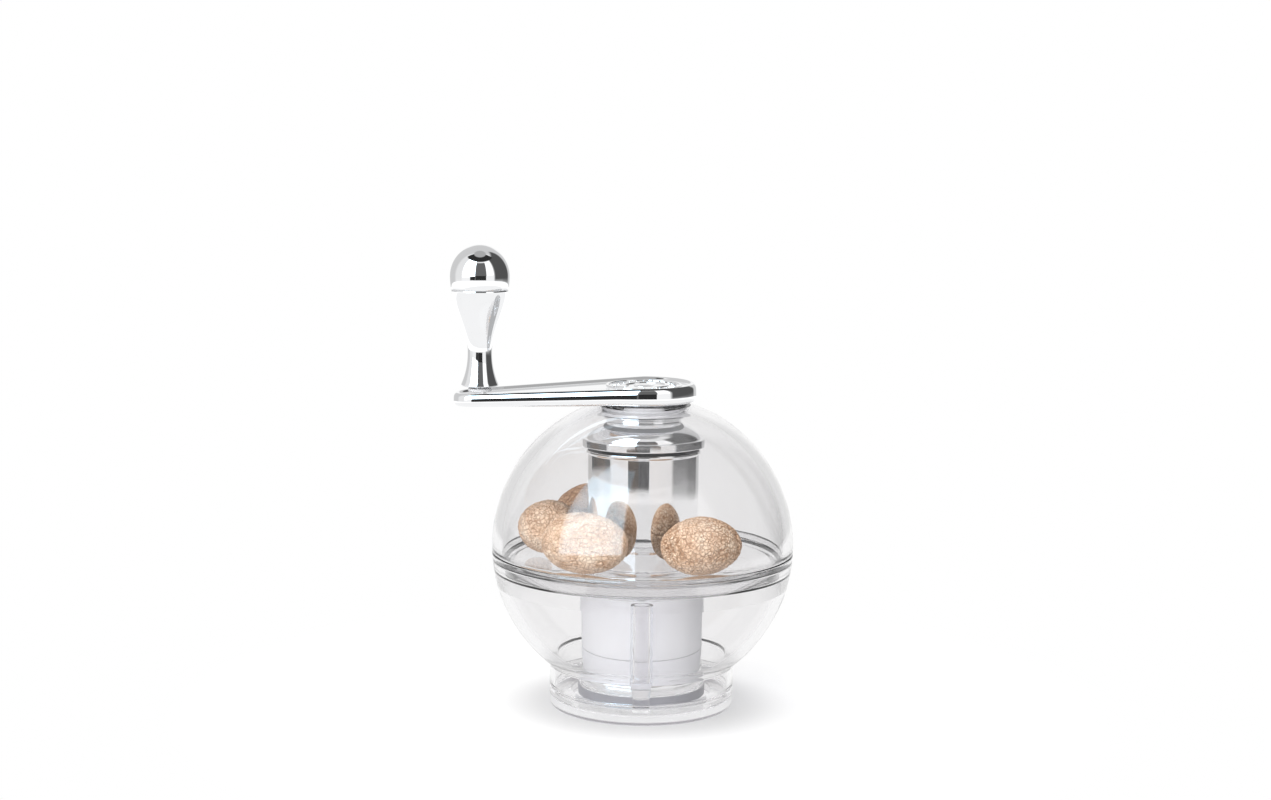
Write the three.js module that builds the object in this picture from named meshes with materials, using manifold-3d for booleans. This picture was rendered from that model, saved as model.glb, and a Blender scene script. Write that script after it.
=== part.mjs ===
// Hand cranked nutmeg grater: a clear ball in two halves on a short foot. The upper half stores whole
// nutmegs round a steel chamber tube. The crank turns a square shaft, a sprung claw plunger on that shaft
// presses one nutmeg onto a slotted blade disc, and the powder drops into the clear base cap.
// Millimetres, +Z up. The origin is the centre of the flat underside, on the table.

import * as THREE from 'three';
import { mergeVertices } from 'three/addons/utils/BufferGeometryUtils.js';
import Module from 'manifold-3d';

// Driving dimensions
const GAP = 0.3; // running and assembly clearance between pieces
const FIT = 0.15; // close clearance between pieces that turn together
const OVERCUT = 1; // how far a cutting tool reaches past the face that it opens
const SIDES = 40; // facets round a full turn on the ball, floor and foot
const MID_SIDES = 32; // facets round a full turn on the tube, the cap and their rings
const SMALL_SIDES = 16; // facets round a full turn on pins, posts and small rings

const TUBE_R = 13.75; // outside radius of the steel chamber tube
const TUBE_WALL = 0.8;
const TUBE_DROP = 13.15; // from the ball's crown down to the tube's top
const BEAD_W = 0.4; // how far the rolled bead at the tube's top stands out
const BEAD_H = 1.2; // height of the bead, with its slopes
const BEAD_SLOPE = 0.3; // height of each slope
const SLEEVE_WALL = 1.15; // frosted sleeve round the tube below the floor
const SLEEVE_BOTTOM = 15;

const POST_R = 2.7; // the clear posts between the floor and the foot
const POST_COUNT = 2;
const POST_GAP = 0.69; // gap between a post and the sleeve
const POST_SHOULDER = 10.2; // height where a post starts to taper
const PEG_R = 2.05;
const PEG_SHOULDER = 6.2; // height where the taper ends
const PEG_BOTTOM = 3.5;

const FOOT_WALL = 1.3;
const FOOT_SIDE_GAP = 0.41; // gap between a post and the foot's wall
const FOOT_Z = 5.5; // underside of the foot, on the base cap's rim
const FOOT_TOP = 10.78; // height where the foot's outside meets the ball
const LIP_H = 1.1; // depth of the foot's lip inside the base cap
const LIP_T = 0.5; // thickness of that lip

const BALL_R = 37.5; // outside radius of the clear ball
const BALL_WALL = 2.5;
const SEAM_DROP = 1.05; // from the ball's centre down to the upper half's lip
const TONGUE_H = 1.45; // depth of the upper half's tongue below the seam
const TONGUE_T = 1.1; // thickness of the tongue

const HOUSING_STEP = 0.7; // how far the blade housing stands out past the sleeve
const HOUSING_BOTTOM = 3;
const HOUSING_EDGE = 0.4; // chamfer on the housing's edges
const HOUSING_SEAT_W = 1.6; // width of the ledge under the blade disc
const BLADE_TOP = 8.4; // top face of the blade disc
const BLADE_T = 1;
const SLOT_COUNT = 3; // grating slots in the disc
const SLOT_START = 2; // distance of a slot's inner end from the axis
const SLOT_MARGIN = 2.35; // from a slot's outer end to the disc's edge
const SLOT_W = 1.5;
const LIP_RISE = 0.45; // height of the cutting lips above the disc
const LIP_W = 0.9; // width of a cutting lip
const LIP_ROOT = 0.3; // depth of a lip's root in the disc

const CAP_FLOOR = 1.6; // thickness of the base cap's floor
const CAP_SIDE_GAP = 1.7; // gap between the blade housing and the base cap's bore
const CAP_EDGE = 1.5; // rounding of the base cap's bottom edge
const CAP_EDGE_START = -60; // angle where that rounding leaves the flat underside

const FLOOR_T = 3.8; // thickness of the nutmeg floor
const FLOOR_DROP = 5.9; // from the ball's centre down to the ledge that carries the floor
const LEDGE_W = 0.7; // width of that ledge
const LEDGE_TAPER = 0.1; // how far the ledge leans out below
const FLOOR_LAND = 1.15; // flat ring of the floor's underside, inside the ledge
const FLOOR_HUB_W = 1; // flat ring of the floor's underside, round the sleeve
const DISH = 3.3; // how far the floor falls from its rim to the tube
const COLLAR_H = 1.2; // height of the floor's collar round the tube
const COLLAR_T = 1.15; // thickness of that collar
const COLLAR_FLARE = 0.6; // how far the collar's foot spreads

const NECK_R = 9.2; // the chrome cap's neck, through the ball's top hole
const NECK_WALL = 1.6; // below the web
const NECK_LEN = 6.6; // from the ball's crown down to the shoulder
const POCKET_WALL = 2.6; // above the web, round the thrust washer
const WEB_DROP = 3.5; // from the ball's crown down to the web that carries the shaft
const WEB_T = 1.6;
const FLANGE_LAP = 1.35; // how far the cap's flange stands out past the tube
const FLANGE_T = 1.35;
const FLANGE_EDGE = 0.35;
const SHOULDER_STEP = 1.1; // from the flange's edge in to the foot of the shoulder
const SHOULDER_POWER = 1.8; // shape of the round shoulder between flange and neck
const SHOULDER_STEPS = 6;
const SPIGOT_H = 3; // depth of the cap's spigot inside the tube
const SPIGOT_T = 1.2;
const SPIGOT_BEVEL = 1; // bevel at the spigot's inner edge
const GROOVE_DEPTH = 0.7; // groove in the neck for the retaining ring
const RING_T = 0.6; // thickness of the retaining ring
const RING_LAP = 0.6; // how far the ring reaches over the edge of the ball's top hole
const RING_SEAT_GAP = 0.2; // gap between the ring and that edge
const RING_SLIT_W = 3;
const BEARING_BEAD = 0.6; // bead on the neck that carries the bush
const BEARING_BEAD_H = 0.5;
const BUSH_WALL = 0.5; // wall of the bush between the neck and the ball
const BUSH_LAP = 1.1; // how far the bush's flange reaches under the ball
const BUSH_FLANGE_T = 0.55;

const SHAFT_SQUARE = 5; // width across the flats of the drive shaft
const SHAFT_REACH = 7.8; // how far the shaft reaches into the stem at rest
const SOCKET_DEPTH = 2.6; // depth of the square socket in the crank
const JOURNAL_LAND = 0.015; // how far the journal stands out past the square's corners
const SHAFT_COLLAR_SIDE = 1; // gap between the shaft's collar and the neck's bore
const SHAFT_COLLAR_T = 1.2;
const WASHER_T = 0.6;

const STROKE = 22; // travel of the claw plunger
const CLAW_LIFT = 4.8; // height of the claw tips above the blade disc at rest
const CLAW_LEN = 5.8;
const CLAW_COUNT = 6;
const CLAW_W = 4.4;
const CLAW_T = 1.2;
const CLAW_ROOT = 0.5; // depth of a claw's root in its plate
const CLAW_SIDE_GAP = 1.4; // gap between the claws and the push nut
const PLATE_SIDE_GAP = 0.65; // gap between the claw plate and the tube
const PLATE_T = 2;
const STEM_WALL = 1.9; // from the square bore's flat to the stem's outside
const STEM_TAIL = 1; // how far the stem reaches below the nut
const STEM_FLANGE_LAP = 0.6; // how far the stem's flange stands out past the spring
const STEM_FLANGE_T = 1.2;
const NUT_W = 2.3; // width of the push nut's ring under the claw plate
const NUT_T = 1.3;

const WIRE_R = 0.55; // spring wire
const SPRING_GAP = 0.5; // gap between the stem and the spring
const SPRING_TURNS = 12;
const CURL_STEPS = 8; // steps in a turn of the spring
const WIRE_SIDES = 5;

const HUB_R = 13; // the crank's round end over the axis
const HUB_GAP = 0.25; // gap between the thrust washer and the hub's underside
const HUB_H = 4.45; // height of the hub with its rim
const TIP_R = 6.5; // the crank's round end under the knob
const ARM_LEN = 40.65; // from the axis to the knob's axis
const ARM_FALL = 0.0615; // slope of the arm's top
const ARM_UNDER_FALL = 0.04; // slope of the arm's underside
const ARM_EDGE = 1.2; // rounding of the arm's edges
const RIM_W = 1.9; // width of the raised rim round the crank's top
const RIM_CREST = 0.85; // from the arm's side in to the rim's crest
const RIM_H = 0.7; // height of that rim
const RECESS_GAP = 0.6; // gap between the retaining ring and the recess under the hub
const RECESS_H = 1.5;

const PIN_R = 1.7; // knob pin
const PIN_GAP = 0.1; // running clearance of the pin in the knob
const PIN_HEAD_R = 2.7;
const PIN_HEAD_T = 1;
const RIVET_H = 1.4; // height of the pin's riveted end above the knob's bore
const BOSS_W = 1; // width of the arm's boss outside the knob washer
const KNOB_WASHER_R = 2.9;
const KNOB_WASHER_T = 0.7;
const KNOB_BASE_R = 4.8;
const KNOB_WAIST_R = 3;
const KNOB_HEAD_R = 7.4;
const KNOB_FLARE_POWER = 2.2; // shape of the flare below the waist
const KNOB_WAIST_UP = 8.4; // heights above the knob's underside
const KNOB_SPLIT_UP = 23.9; // joint between the knob and its cap
const KNOB_HEAD_UP = 27.1; // the head's widest ring
const KNOB_H = 34.9;

// Stored nutmegs: angle round the axis, share of the store's width that each fills, then its half
// length over the radius of the ring that it lies on, and its height over its width
const NUTMEGS = [
  { angle: 235.5, fill: 0.847, long: 0.4895, tall: 0.87 },
  { angle: 172.5, fill: 0.828, long: 0.33, tall: 0.84 },
  { angle: 124, fill: 0.847, long: 0.455, tall: 0.933 },
  { angle: 306, fill: 0.875, long: 0.4435, tall: 0.8 },
];
const NUTMEG_SHIFT = 0.475; // from the middle of the store's width in to the nutmegs' middle

// Derived radii
const SLEEVE_R = TUBE_R + GAP + SLEEVE_WALL;
const POST_CIRCLE_R = SLEEVE_R + POST_GAP + POST_R;
const FOOT_R = POST_CIRCLE_R + POST_R + FOOT_SIDE_GAP + FOOT_WALL;
const HOUSING_R = SLEEVE_R + HOUSING_STEP;
const CAP_BORE_R = HOUSING_R + CAP_SIDE_GAP;
const BALL_IN_R = BALL_R - BALL_WALL;
const FLANGE_R = TUBE_R + FLANGE_LAP;
const NECK_BORE_R = NECK_R - NECK_WALL;
const WASHER_POCKET_R = NECK_R - POCKET_WALL;
const TOP_HOLE_R = NECK_R + 2 * GAP + BUSH_WALL;
const RING_R = TOP_HOLE_R + RING_LAP;
const BUSH_FLANGE_R = TOP_HOLE_R + BUSH_LAP;
const RECESS_R = RING_R + RECESS_GAP;
const JOURNAL_R = SHAFT_SQUARE * Math.SQRT1_2 + JOURNAL_LAND;
const SHAFT_COLLAR_R = NECK_BORE_R - SHAFT_COLLAR_SIDE;
const PLATE_R = TUBE_R - TUBE_WALL - PLATE_SIDE_GAP;
const STEM_R = SHAFT_SQUARE / 2 + GAP + STEM_WALL;
const SPRING_R = STEM_R + SPRING_GAP + WIRE_R;
const STEM_FLANGE_R = SPRING_R + WIRE_R + STEM_FLANGE_LAP;
const NUT_R = STEM_R + NUT_W;
const CLAW_CIRCLE_R = NUT_R + CLAW_SIDE_GAP + CLAW_T / 2;

// Derived heights
const BALL_Z = FOOT_TOP + Math.sqrt(BALL_R ** 2 - FOOT_R ** 2);
const CROWN_Z = BALL_Z + BALL_R;
const SEAM_Z = BALL_Z - SEAM_DROP;
const FLOOR_EDGE_Z = BALL_Z - FLOOR_DROP;
const FLOOR_RIM_Z = FLOOR_EDGE_Z + FLOOR_T;
const FLOOR_INNER_Z = FLOOR_RIM_Z - DISH;
const FLOOR_UNDER_Z = FLOOR_INNER_Z - FLOOR_T;
const TUBE_TOP = CROWN_Z - TUBE_DROP;
const TUBE_BOTTOM = BLADE_TOP + GAP;
const FLANGE_Z = TUBE_TOP + GAP;
const NECK_BASE = CROWN_Z - NECK_LEN;
const NECK_TOP = CROWN_Z;
const WEB_BOTTOM = CROWN_Z - WEB_DROP;
const WEB_TOP = WEB_BOTTOM + WEB_T;
const SHAFT_COLLAR_Z = WEB_BOTTOM - GAP - SHAFT_COLLAR_T;
const ARM_UNDER = WEB_TOP + WASHER_T + HUB_GAP;
const ARM_TOP = ARM_UNDER + HUB_H;
const PLATE_BOTTOM = BLADE_TOP + CLAW_LIFT + CLAW_LEN;
const STEM_FLANGE_Z = PLATE_BOTTOM + PLATE_T;
const STEM_TOP = SHAFT_COLLAR_Z - 2 * GAP - STROKE;
const SHAFT_BOTTOM = STEM_TOP - SHAFT_REACH;
const SPRING_BOTTOM = STEM_FLANGE_Z + STEM_FLANGE_T + GAP;
const SPRING_TOP = SHAFT_COLLAR_Z - GAP;

const wasm = await Module();
wasm.setup();

// Geometry helpers
const DEG = Math.PI / 180;

// Height on a sphere of radius r about the ball's centre, at a distance from the axis.
const sphereZ = (r, x, side = 1) => BALL_Z + side * Math.sqrt(r * r - x * x);
// Distance from the axis on that sphere, at a height.
const sphereX = (r, z) => Math.sqrt(r * r - (z - BALL_Z) ** 2);

// Points on the sphere of radius r from height z0 to height z1, in n even steps of angle.
function sphereArc(r, z0, z1, n) {
  const a0 = Math.asin((z0 - BALL_Z) / r);
  const a1 = Math.asin((z1 - BALL_Z) / r);
  return Array.from({ length: n + 1 }, (_, i) => {
    const a = a0 + ((a1 - a0) * i) / n;
    return [r * Math.cos(a), BALL_Z + r * Math.sin(a)];
  });
}

// Points of a quarter round from one direction to another about a centre.
function arc(cx, cz, r, from, to, n = 3) {
  return Array.from({ length: n + 1 }, (_, i) => {
    const a = (from + ((to - from) * i) / n) * DEG;
    return [cx + r * Math.cos(a), cz + r * Math.sin(a)];
  });
}

// A clean closed geometry with positions only: merged corners, no flat triangles, faces outward.
function clean(geometry) {
  geometry.deleteAttribute('normal');
  geometry.deleteAttribute('uv');
  const merged = mergeVertices(geometry, 1e-4);
  const index = merged.index.array;
  const pos = merged.attributes.position;
  const kept = [];
  let volume = 0;
  const corner = [new THREE.Vector3(), new THREE.Vector3(), new THREE.Vector3()];
  for (let i = 0; i < index.length; i += 3) {
    const [a, b, c] = [index[i], index[i + 1], index[i + 2]];
    if (a === b || b === c || c === a) continue;
    kept.push(a, b, c);
    corner.forEach((v, k) => v.fromBufferAttribute(pos, index[i + k]));
    volume += corner[0].dot(corner[1].clone().cross(corner[2]));
  }
  if (volume < 0) {
    for (let i = 0; i < kept.length; i += 3) [kept[i], kept[i + 1]] = [kept[i + 1], kept[i]];
  }
  merged.setIndex(kept);
  return merged;
}

// A solid of revolution about Z from a closed outline of [radius, height] points.
function turned(outline, sides = SIDES, open = false) {
  const points = outline.map(([x, z]) => new THREE.Vector2(x, z));
  if (!open) points.push(points[0].clone());
  return clean(new THREE.LatheGeometry(points, sides).rotateX(Math.PI / 2));
}

// A plain ring or disc between two radii and two heights.
function ring(inner, outer, z0, z1, sides = SIDES) {
  if (inner > 0) return turned([[inner, z0], [outer, z0], [outer, z1], [inner, z1]], sides);
  return turned([[0, z0], [outer, z0], [outer, z1], [0, z1]], sides, true);
}

// A flat outline of [x, y] points pulled up from z0 to z1.
function prism(points, z0, z1) {
  const shape = new THREE.Shape(points.map(([x, y]) => new THREE.Vector2(x, y)));
  const geometry = new THREE.ExtrudeGeometry(shape, { depth: z1 - z0, bevelEnabled: false });
  return clean(geometry.translate(0, 0, z0));
}

function box(w, d, z0, z1) {
  return prism([[-w / 2, -d / 2], [w / 2, -d / 2], [w / 2, d / 2], [-w / 2, d / 2]], z0, z1);
}

function toSolid(geometry) {
  const vertProperties = new Float32Array(geometry.attributes.position.array);
  const triVerts = new Uint32Array(geometry.index.array);
  return new wasm.Manifold(new wasm.Mesh({ numProp: 3, vertProperties, triVerts }));
}

function fromSolid(solid) {
  const mesh = solid.getMesh();
  const geometry = new THREE.BufferGeometry();
  geometry.setAttribute('position', new THREE.BufferAttribute(mesh.vertProperties, 3));
  geometry.setIndex(new THREE.BufferAttribute(mesh.triVerts, 1));
  return clean(geometry);
}

function join(...parts) {
  return fromSolid(parts.map(toSolid).reduce((a, b) => a.add(b)));
}

function cut(body, ...tools) {
  return fromSolid(tools.map(toSolid).reduce((a, b) => a.subtract(b), toSolid(body)));
}

const around = (count, make) => Array.from({ length: count }, (_, i) => make((i * 360) / count));

// Materials
const material = (color, roughness, metalness, opacity = 1) =>
  new THREE.MeshStandardMaterial({ color, roughness, metalness, opacity, transparent: opacity < 1 });
const clearAcrylic = material(0xe4e5ea, 0.05, 0, 0.3);
const frostedPlastic = material(0xe6e6ea, 0.45, 0);
const nylon = material(0xefeeea, 0.5, 0);
const chrome = material(0xd4d6da, 0.06, 1);
const polishedSteel = material(0xbfc1c4, 0.16, 1);
const bladeSteel = material(0xa9abae, 0.3, 1);
const springSteel = material(0x94969a, 0.28, 1);
const nutmegShell = material(0xa98562, 0.75, 0);

const group = new THREE.Group();
function add(name, geometry, finish) {
  const mesh = new THREE.Mesh(geometry, finish);
  mesh.name = name;
  group.add(mesh);
}

// The clear casing

// Upper half of the ball: a tongue inside its lip reaches down into the lower half's rebate.
function upperShell() {
  return turned([
    ...sphereArc(BALL_R, SEAM_Z, sphereZ(BALL_R, TOP_HOLE_R), 11),
    ...sphereArc(BALL_IN_R, sphereZ(BALL_IN_R, TOP_HOLE_R), SEAM_Z - TONGUE_H, 9),
    [BALL_IN_R + TONGUE_T, SEAM_Z - TONGUE_H],
    [BALL_IN_R + TONGUE_T, SEAM_Z],
  ]);
}

// Lower half of the ball with the foot, the rebate for the tongue and the ledge for the floor.
function lowerShell() {
  const shoulderZ = SEAM_Z - GAP;
  const rebateR = BALL_IN_R + TONGUE_T + GAP;
  const stepZ = SEAM_Z - TONGUE_H - GAP;
  const footIn = FOOT_R - FOOT_WALL;
  const ledgeR = sphereX(BALL_IN_R, FLOOR_EDGE_Z) - LEDGE_W;
  const lipR = footIn + LIP_T;
  const belowLedge = BALL_Z - Math.sqrt(BALL_IN_R ** 2 - (ledgeR - LEDGE_TAPER) ** 2);
  return turned([
    [lipR, FOOT_Z],
    [FOOT_R, FOOT_Z],
    ...sphereArc(BALL_R, sphereZ(BALL_R, FOOT_R, -1), shoulderZ, 10),
    [rebateR, shoulderZ],
    [rebateR, stepZ],
    ...sphereArc(BALL_IN_R, stepZ, FLOOR_EDGE_Z, 2),
    [ledgeR, FLOOR_EDGE_Z],
    ...sphereArc(BALL_IN_R, belowLedge, sphereZ(BALL_IN_R, footIn, -1), 7),
    [footIn, FOOT_Z - LIP_H],
    [lipR, FOOT_Z - LIP_H],
  ]);
}

// Clear base cap: a dish that stands on the table, with a rim over the foot's lip and a socket for each peg.
function baseCap() {
  const rimIn = FOOT_R - FOOT_WALL + LIP_T + GAP;
  const seatZ = FOOT_Z - LIP_H - GAP;
  const dish = turned([
    [0, 0],
    [FOOT_R - CAP_EDGE, 0],
    ...arc(FOOT_R - CAP_EDGE, CAP_EDGE, CAP_EDGE, CAP_EDGE_START, 0),
    [FOOT_R, FOOT_Z - GAP],
    [rimIn, FOOT_Z - GAP],
    [rimIn, seatZ],
    [CAP_BORE_R, seatZ],
    [CAP_BORE_R, CAP_FLOOR],
    [0, CAP_FLOOR],
  ], SIDES, true);
  const sockets = around(POST_COUNT, (a) =>
    ring(0, PEG_R + GAP, PEG_BOTTOM - GAP, FOOT_Z, SMALL_SIDES)
      .translate(0, -POST_CIRCLE_R, 0)
      .rotateZ(a * DEG));
  return cut(dish, ...sockets);
}

// The grinding unit that drops into the lower half

// Distance from the axis of the outer end of the floor's sloping underside.
function floorSlopeR() {
  return sphereX(BALL_IN_R - GAP, FLOOR_EDGE_Z + GAP) - LEDGE_W - FLOOR_LAND;
}

// Dished clear floor under the stored nutmegs, with a collar round the tube.
function nutmegFloor() {
  const bore = TUBE_R + GAP;
  const edgeZ = FLOOR_EDGE_Z + GAP;
  const clearR = BALL_IN_R - GAP;
  return turned([
    [bore, FLOOR_UNDER_Z],
    [SLEEVE_R + FLOOR_HUB_W, FLOOR_UNDER_Z],
    [floorSlopeR(), edgeZ],
    [sphereX(clearR, edgeZ), edgeZ],
    [sphereX(clearR, FLOOR_RIM_Z), FLOOR_RIM_Z],
    [bore + COLLAR_T + COLLAR_FLARE, FLOOR_INNER_Z],
    [bore + COLLAR_T, FLOOR_INNER_Z + COLLAR_H],
    [bore, FLOOR_INNER_Z + COLLAR_H],
  ]);
}

// Frosted sleeve round the tube, from the floor's underside down towards the blade housing.
function sleeve() {
  return ring(TUBE_R + GAP, SLEEVE_R, SLEEVE_BOTTOM, FLOOR_UNDER_Z, MID_SIDES);
}

// Height of a post's top: just under the sloping underside of the floor, at the post's inner side.
function postTopZ() {
  const innerR = SLEEVE_R + FLOOR_HUB_W;
  const slope = (FLOOR_EDGE_Z + GAP - FLOOR_UNDER_Z) / (floorSlopeR() - innerR);
  return FLOOR_UNDER_Z + slope * Math.max(0, POST_CIRCLE_R - POST_R - innerR) - FIT;
}

// Clear post that hangs from the floor and ends in a peg in the base cap.
function post() {
  const shaft = turned([
    [0, PEG_BOTTOM],
    [PEG_R, PEG_BOTTOM],
    [PEG_R, PEG_SHOULDER],
    [POST_R, POST_SHOULDER],
    [POST_R, postTopZ()],
    [0, postTopZ()],
  ], SMALL_SIDES, true);
  return shaft.translate(0, -POST_CIRCLE_R, 0);
}

// Steel chamber tube with a rolled bead at its top.
function chamberTube() {
  const inner = TUBE_R - TUBE_WALL;
  const bead = TUBE_R + BEAD_W;
  return turned([
    [inner, TUBE_BOTTOM],
    [TUBE_R, TUBE_BOTTOM],
    [TUBE_R, TUBE_TOP - BEAD_H],
    [bead, TUBE_TOP - BEAD_H + BEAD_SLOPE],
    [bead, TUBE_TOP - BEAD_SLOPE],
    [TUBE_R, TUBE_TOP],
    [inner, TUBE_TOP],
  ], MID_SIDES);
}

// Blade housing: a polished ring on the tube's lower end, with a ledge under the blade disc.
function bladeHousing() {
  const bore = TUBE_R + GAP;
  const seatZ = BLADE_TOP - BLADE_T;
  return turned([
    [bore - HOUSING_SEAT_W, HOUSING_BOTTOM],
    [HOUSING_R - HOUSING_EDGE, HOUSING_BOTTOM],
    [HOUSING_R, HOUSING_BOTTOM + HOUSING_EDGE],
    [HOUSING_R, BLADE_TOP - HOUSING_EDGE],
    [HOUSING_R - HOUSING_EDGE, BLADE_TOP],
    [SLEEVE_R, BLADE_TOP],
    [SLEEVE_R, SLEEVE_BOTTOM - GAP],
    [bore, SLEEVE_BOTTOM - GAP],
    [bore, seatZ],
    [bore - HOUSING_SEAT_W, seatZ],
  ], MID_SIDES);
}

// Blade disc: slots with a raised cutting lip along the trailing side of each.
function bladeDisc() {
  const end = TUBE_R - SLOT_MARGIN;
  const under = BLADE_TOP - BLADE_T;
  const disc = ring(0, TUBE_R, under, BLADE_TOP, MID_SIDES);
  const slots = around(SLOT_COUNT, (a) =>
    prism([[SLOT_START, 0], [end, 0], [end, SLOT_W], [SLOT_START, SLOT_W]],
      under - OVERCUT, BLADE_TOP + OVERCUT).rotateZ(a * DEG));
  const lips = around(SLOT_COUNT, (a) => {
    const wedge = new THREE.Shape();
    wedge.moveTo(0, -LIP_ROOT);
    wedge.lineTo(LIP_W, -LIP_ROOT);
    wedge.lineTo(0, LIP_RISE);
    const lip = new THREE.ExtrudeGeometry(wedge, { depth: end - SLOT_START, bevelEnabled: false });
    lip.rotateX(Math.PI / 2).rotateZ(Math.PI / 2);
    return clean(lip.translate(SLOT_START, SLOT_W, BLADE_TOP)).rotateZ(a * DEG);
  });
  return join(cut(disc, ...slots), ...lips);
}

// The top that lifts off

// Chrome cap: flange on the tube, round shoulder, neck through the ball, web with the shaft's bearing.
function tubeCap() {
  const inner = TUBE_R - TUBE_WALL - GAP;
  const flangeTop = FLANGE_Z + FLANGE_T;
  const wide = FLANGE_R - SHOULDER_STEP - NECK_R;
  const shoulder = Array.from({ length: SHOULDER_STEPS + 1 }, (_, i) => {
    const t = i / SHOULDER_STEPS;
    return [NECK_R + wide * (1 - t ** SHOULDER_POWER), flangeTop + (NECK_BASE - flangeTop) * t];
  });
  const beadZ = bushZ() - FIT;
  const grooveZ = ringZ() - FIT;
  return turned([
    [NECK_BORE_R, FLANGE_Z - SPIGOT_H + SPIGOT_BEVEL],
    [inner - SPIGOT_T, FLANGE_Z - SPIGOT_H],
    [inner, FLANGE_Z - SPIGOT_H],
    [inner, FLANGE_Z],
    [FLANGE_R - FLANGE_EDGE, FLANGE_Z],
    [FLANGE_R, FLANGE_Z + FLANGE_EDGE],
    [FLANGE_R, flangeTop - FLANGE_EDGE],
    [FLANGE_R - FLANGE_EDGE, flangeTop],
    ...shoulder,
    [NECK_R, beadZ - BEARING_BEAD_H - BEARING_BEAD / 2],
    [NECK_R + BEARING_BEAD, beadZ - BEARING_BEAD_H / 2],
    [NECK_R + BEARING_BEAD, beadZ],
    [NECK_R, beadZ],
    [NECK_R, grooveZ],
    [NECK_R - GROOVE_DEPTH, grooveZ],
    [NECK_R - GROOVE_DEPTH, grooveZ + RING_T + GAP],
    [NECK_R, grooveZ + RING_T + GAP],
    [NECK_R, NECK_TOP],
    [WASHER_POCKET_R, NECK_TOP],
    [WASHER_POCKET_R, WEB_TOP],
    [JOURNAL_R + GAP, WEB_TOP],
    [JOURNAL_R + GAP, WEB_BOTTOM],
    [NECK_BORE_R, WEB_BOTTOM],
  ], MID_SIDES);
}

// Height of the bush's underside: its flange lies just under the ball's inner wall.
function bushZ() {
  return sphereZ(BALL_IN_R, BUSH_FLANGE_R) - GAP - BUSH_FLANGE_T;
}

// Height of the retaining ring's underside: just over the edge of the ball's top hole.
function ringZ() {
  return sphereZ(BALL_R, TOP_HOLE_R) + RING_SEAT_GAP;
}

// Nylon bush between the neck and the ball's top hole.
function neckBush() {
  const bore = NECK_R + GAP;
  return turned([
    [bore, bushZ()],
    [BUSH_FLANGE_R, bushZ()],
    [BUSH_FLANGE_R, bushZ() + BUSH_FLANGE_T],
    [TOP_HOLE_R - GAP, sphereZ(BALL_IN_R, TOP_HOLE_R) - GAP],
    [TOP_HOLE_R - GAP, ringZ() - GAP],
    [bore, ringZ() - GAP],
  ], MID_SIDES);
}

// Split retaining ring in the neck's groove, above the ball.
function retainingRing() {
  const whole = ring(NECK_R - GROOVE_DEPTH + GAP, RING_R, ringZ(), ringZ() + RING_T, MID_SIDES);
  const slit = box(RING_SLIT_W, RING_R, ringZ() - OVERCUT, ringZ() + RING_T + OVERCUT);
  return cut(whole, slit.translate(0, RING_R, 0));
}

function thrustWasher() {
  return ring(JOURNAL_R + GAP, WASHER_POCKET_R - GAP, WEB_TOP, WEB_TOP + WASHER_T, SMALL_SIDES);
}

// The crank and what turns with it

// Half of the arm's outline, from the hub's far side round to the tip: the centre's x, the radius and
// the angle of each point. Two round ends are joined by their common tangent.
function armOutline(n = 8) {
  const sweep = Math.PI / 2 + Math.asin((HUB_R - TIP_R) / ARM_LEN);
  const hub = Array.from({ length: n + 1 }, (_, i) => [0, HUB_R, (sweep * i) / n]);
  const tip = Array.from({ length: n - 1 }, (_, i) =>
    [-ARM_LEN, TIP_R, sweep + ((Math.PI - sweep) * i) / (n - 2)]);
  return [...hub, ...tip];
}

// Two steps of a quarter of an ellipse, as shares of its half width and half height.
const QUARTER = [0, 45, 90].map((a) => [1 - Math.cos(a * DEG), Math.sin(a * DEG)]);

const onKnobAxis = (geometry) => geometry.translate(-ARM_LEN, 0, 0);
const armTopZ = (x) => ARM_TOP + ARM_FALL * Math.min(0, x);
const armUnderZ = (x) => ARM_UNDER + ARM_UNDER_FALL * Math.min(0, x + TIP_R);

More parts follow.
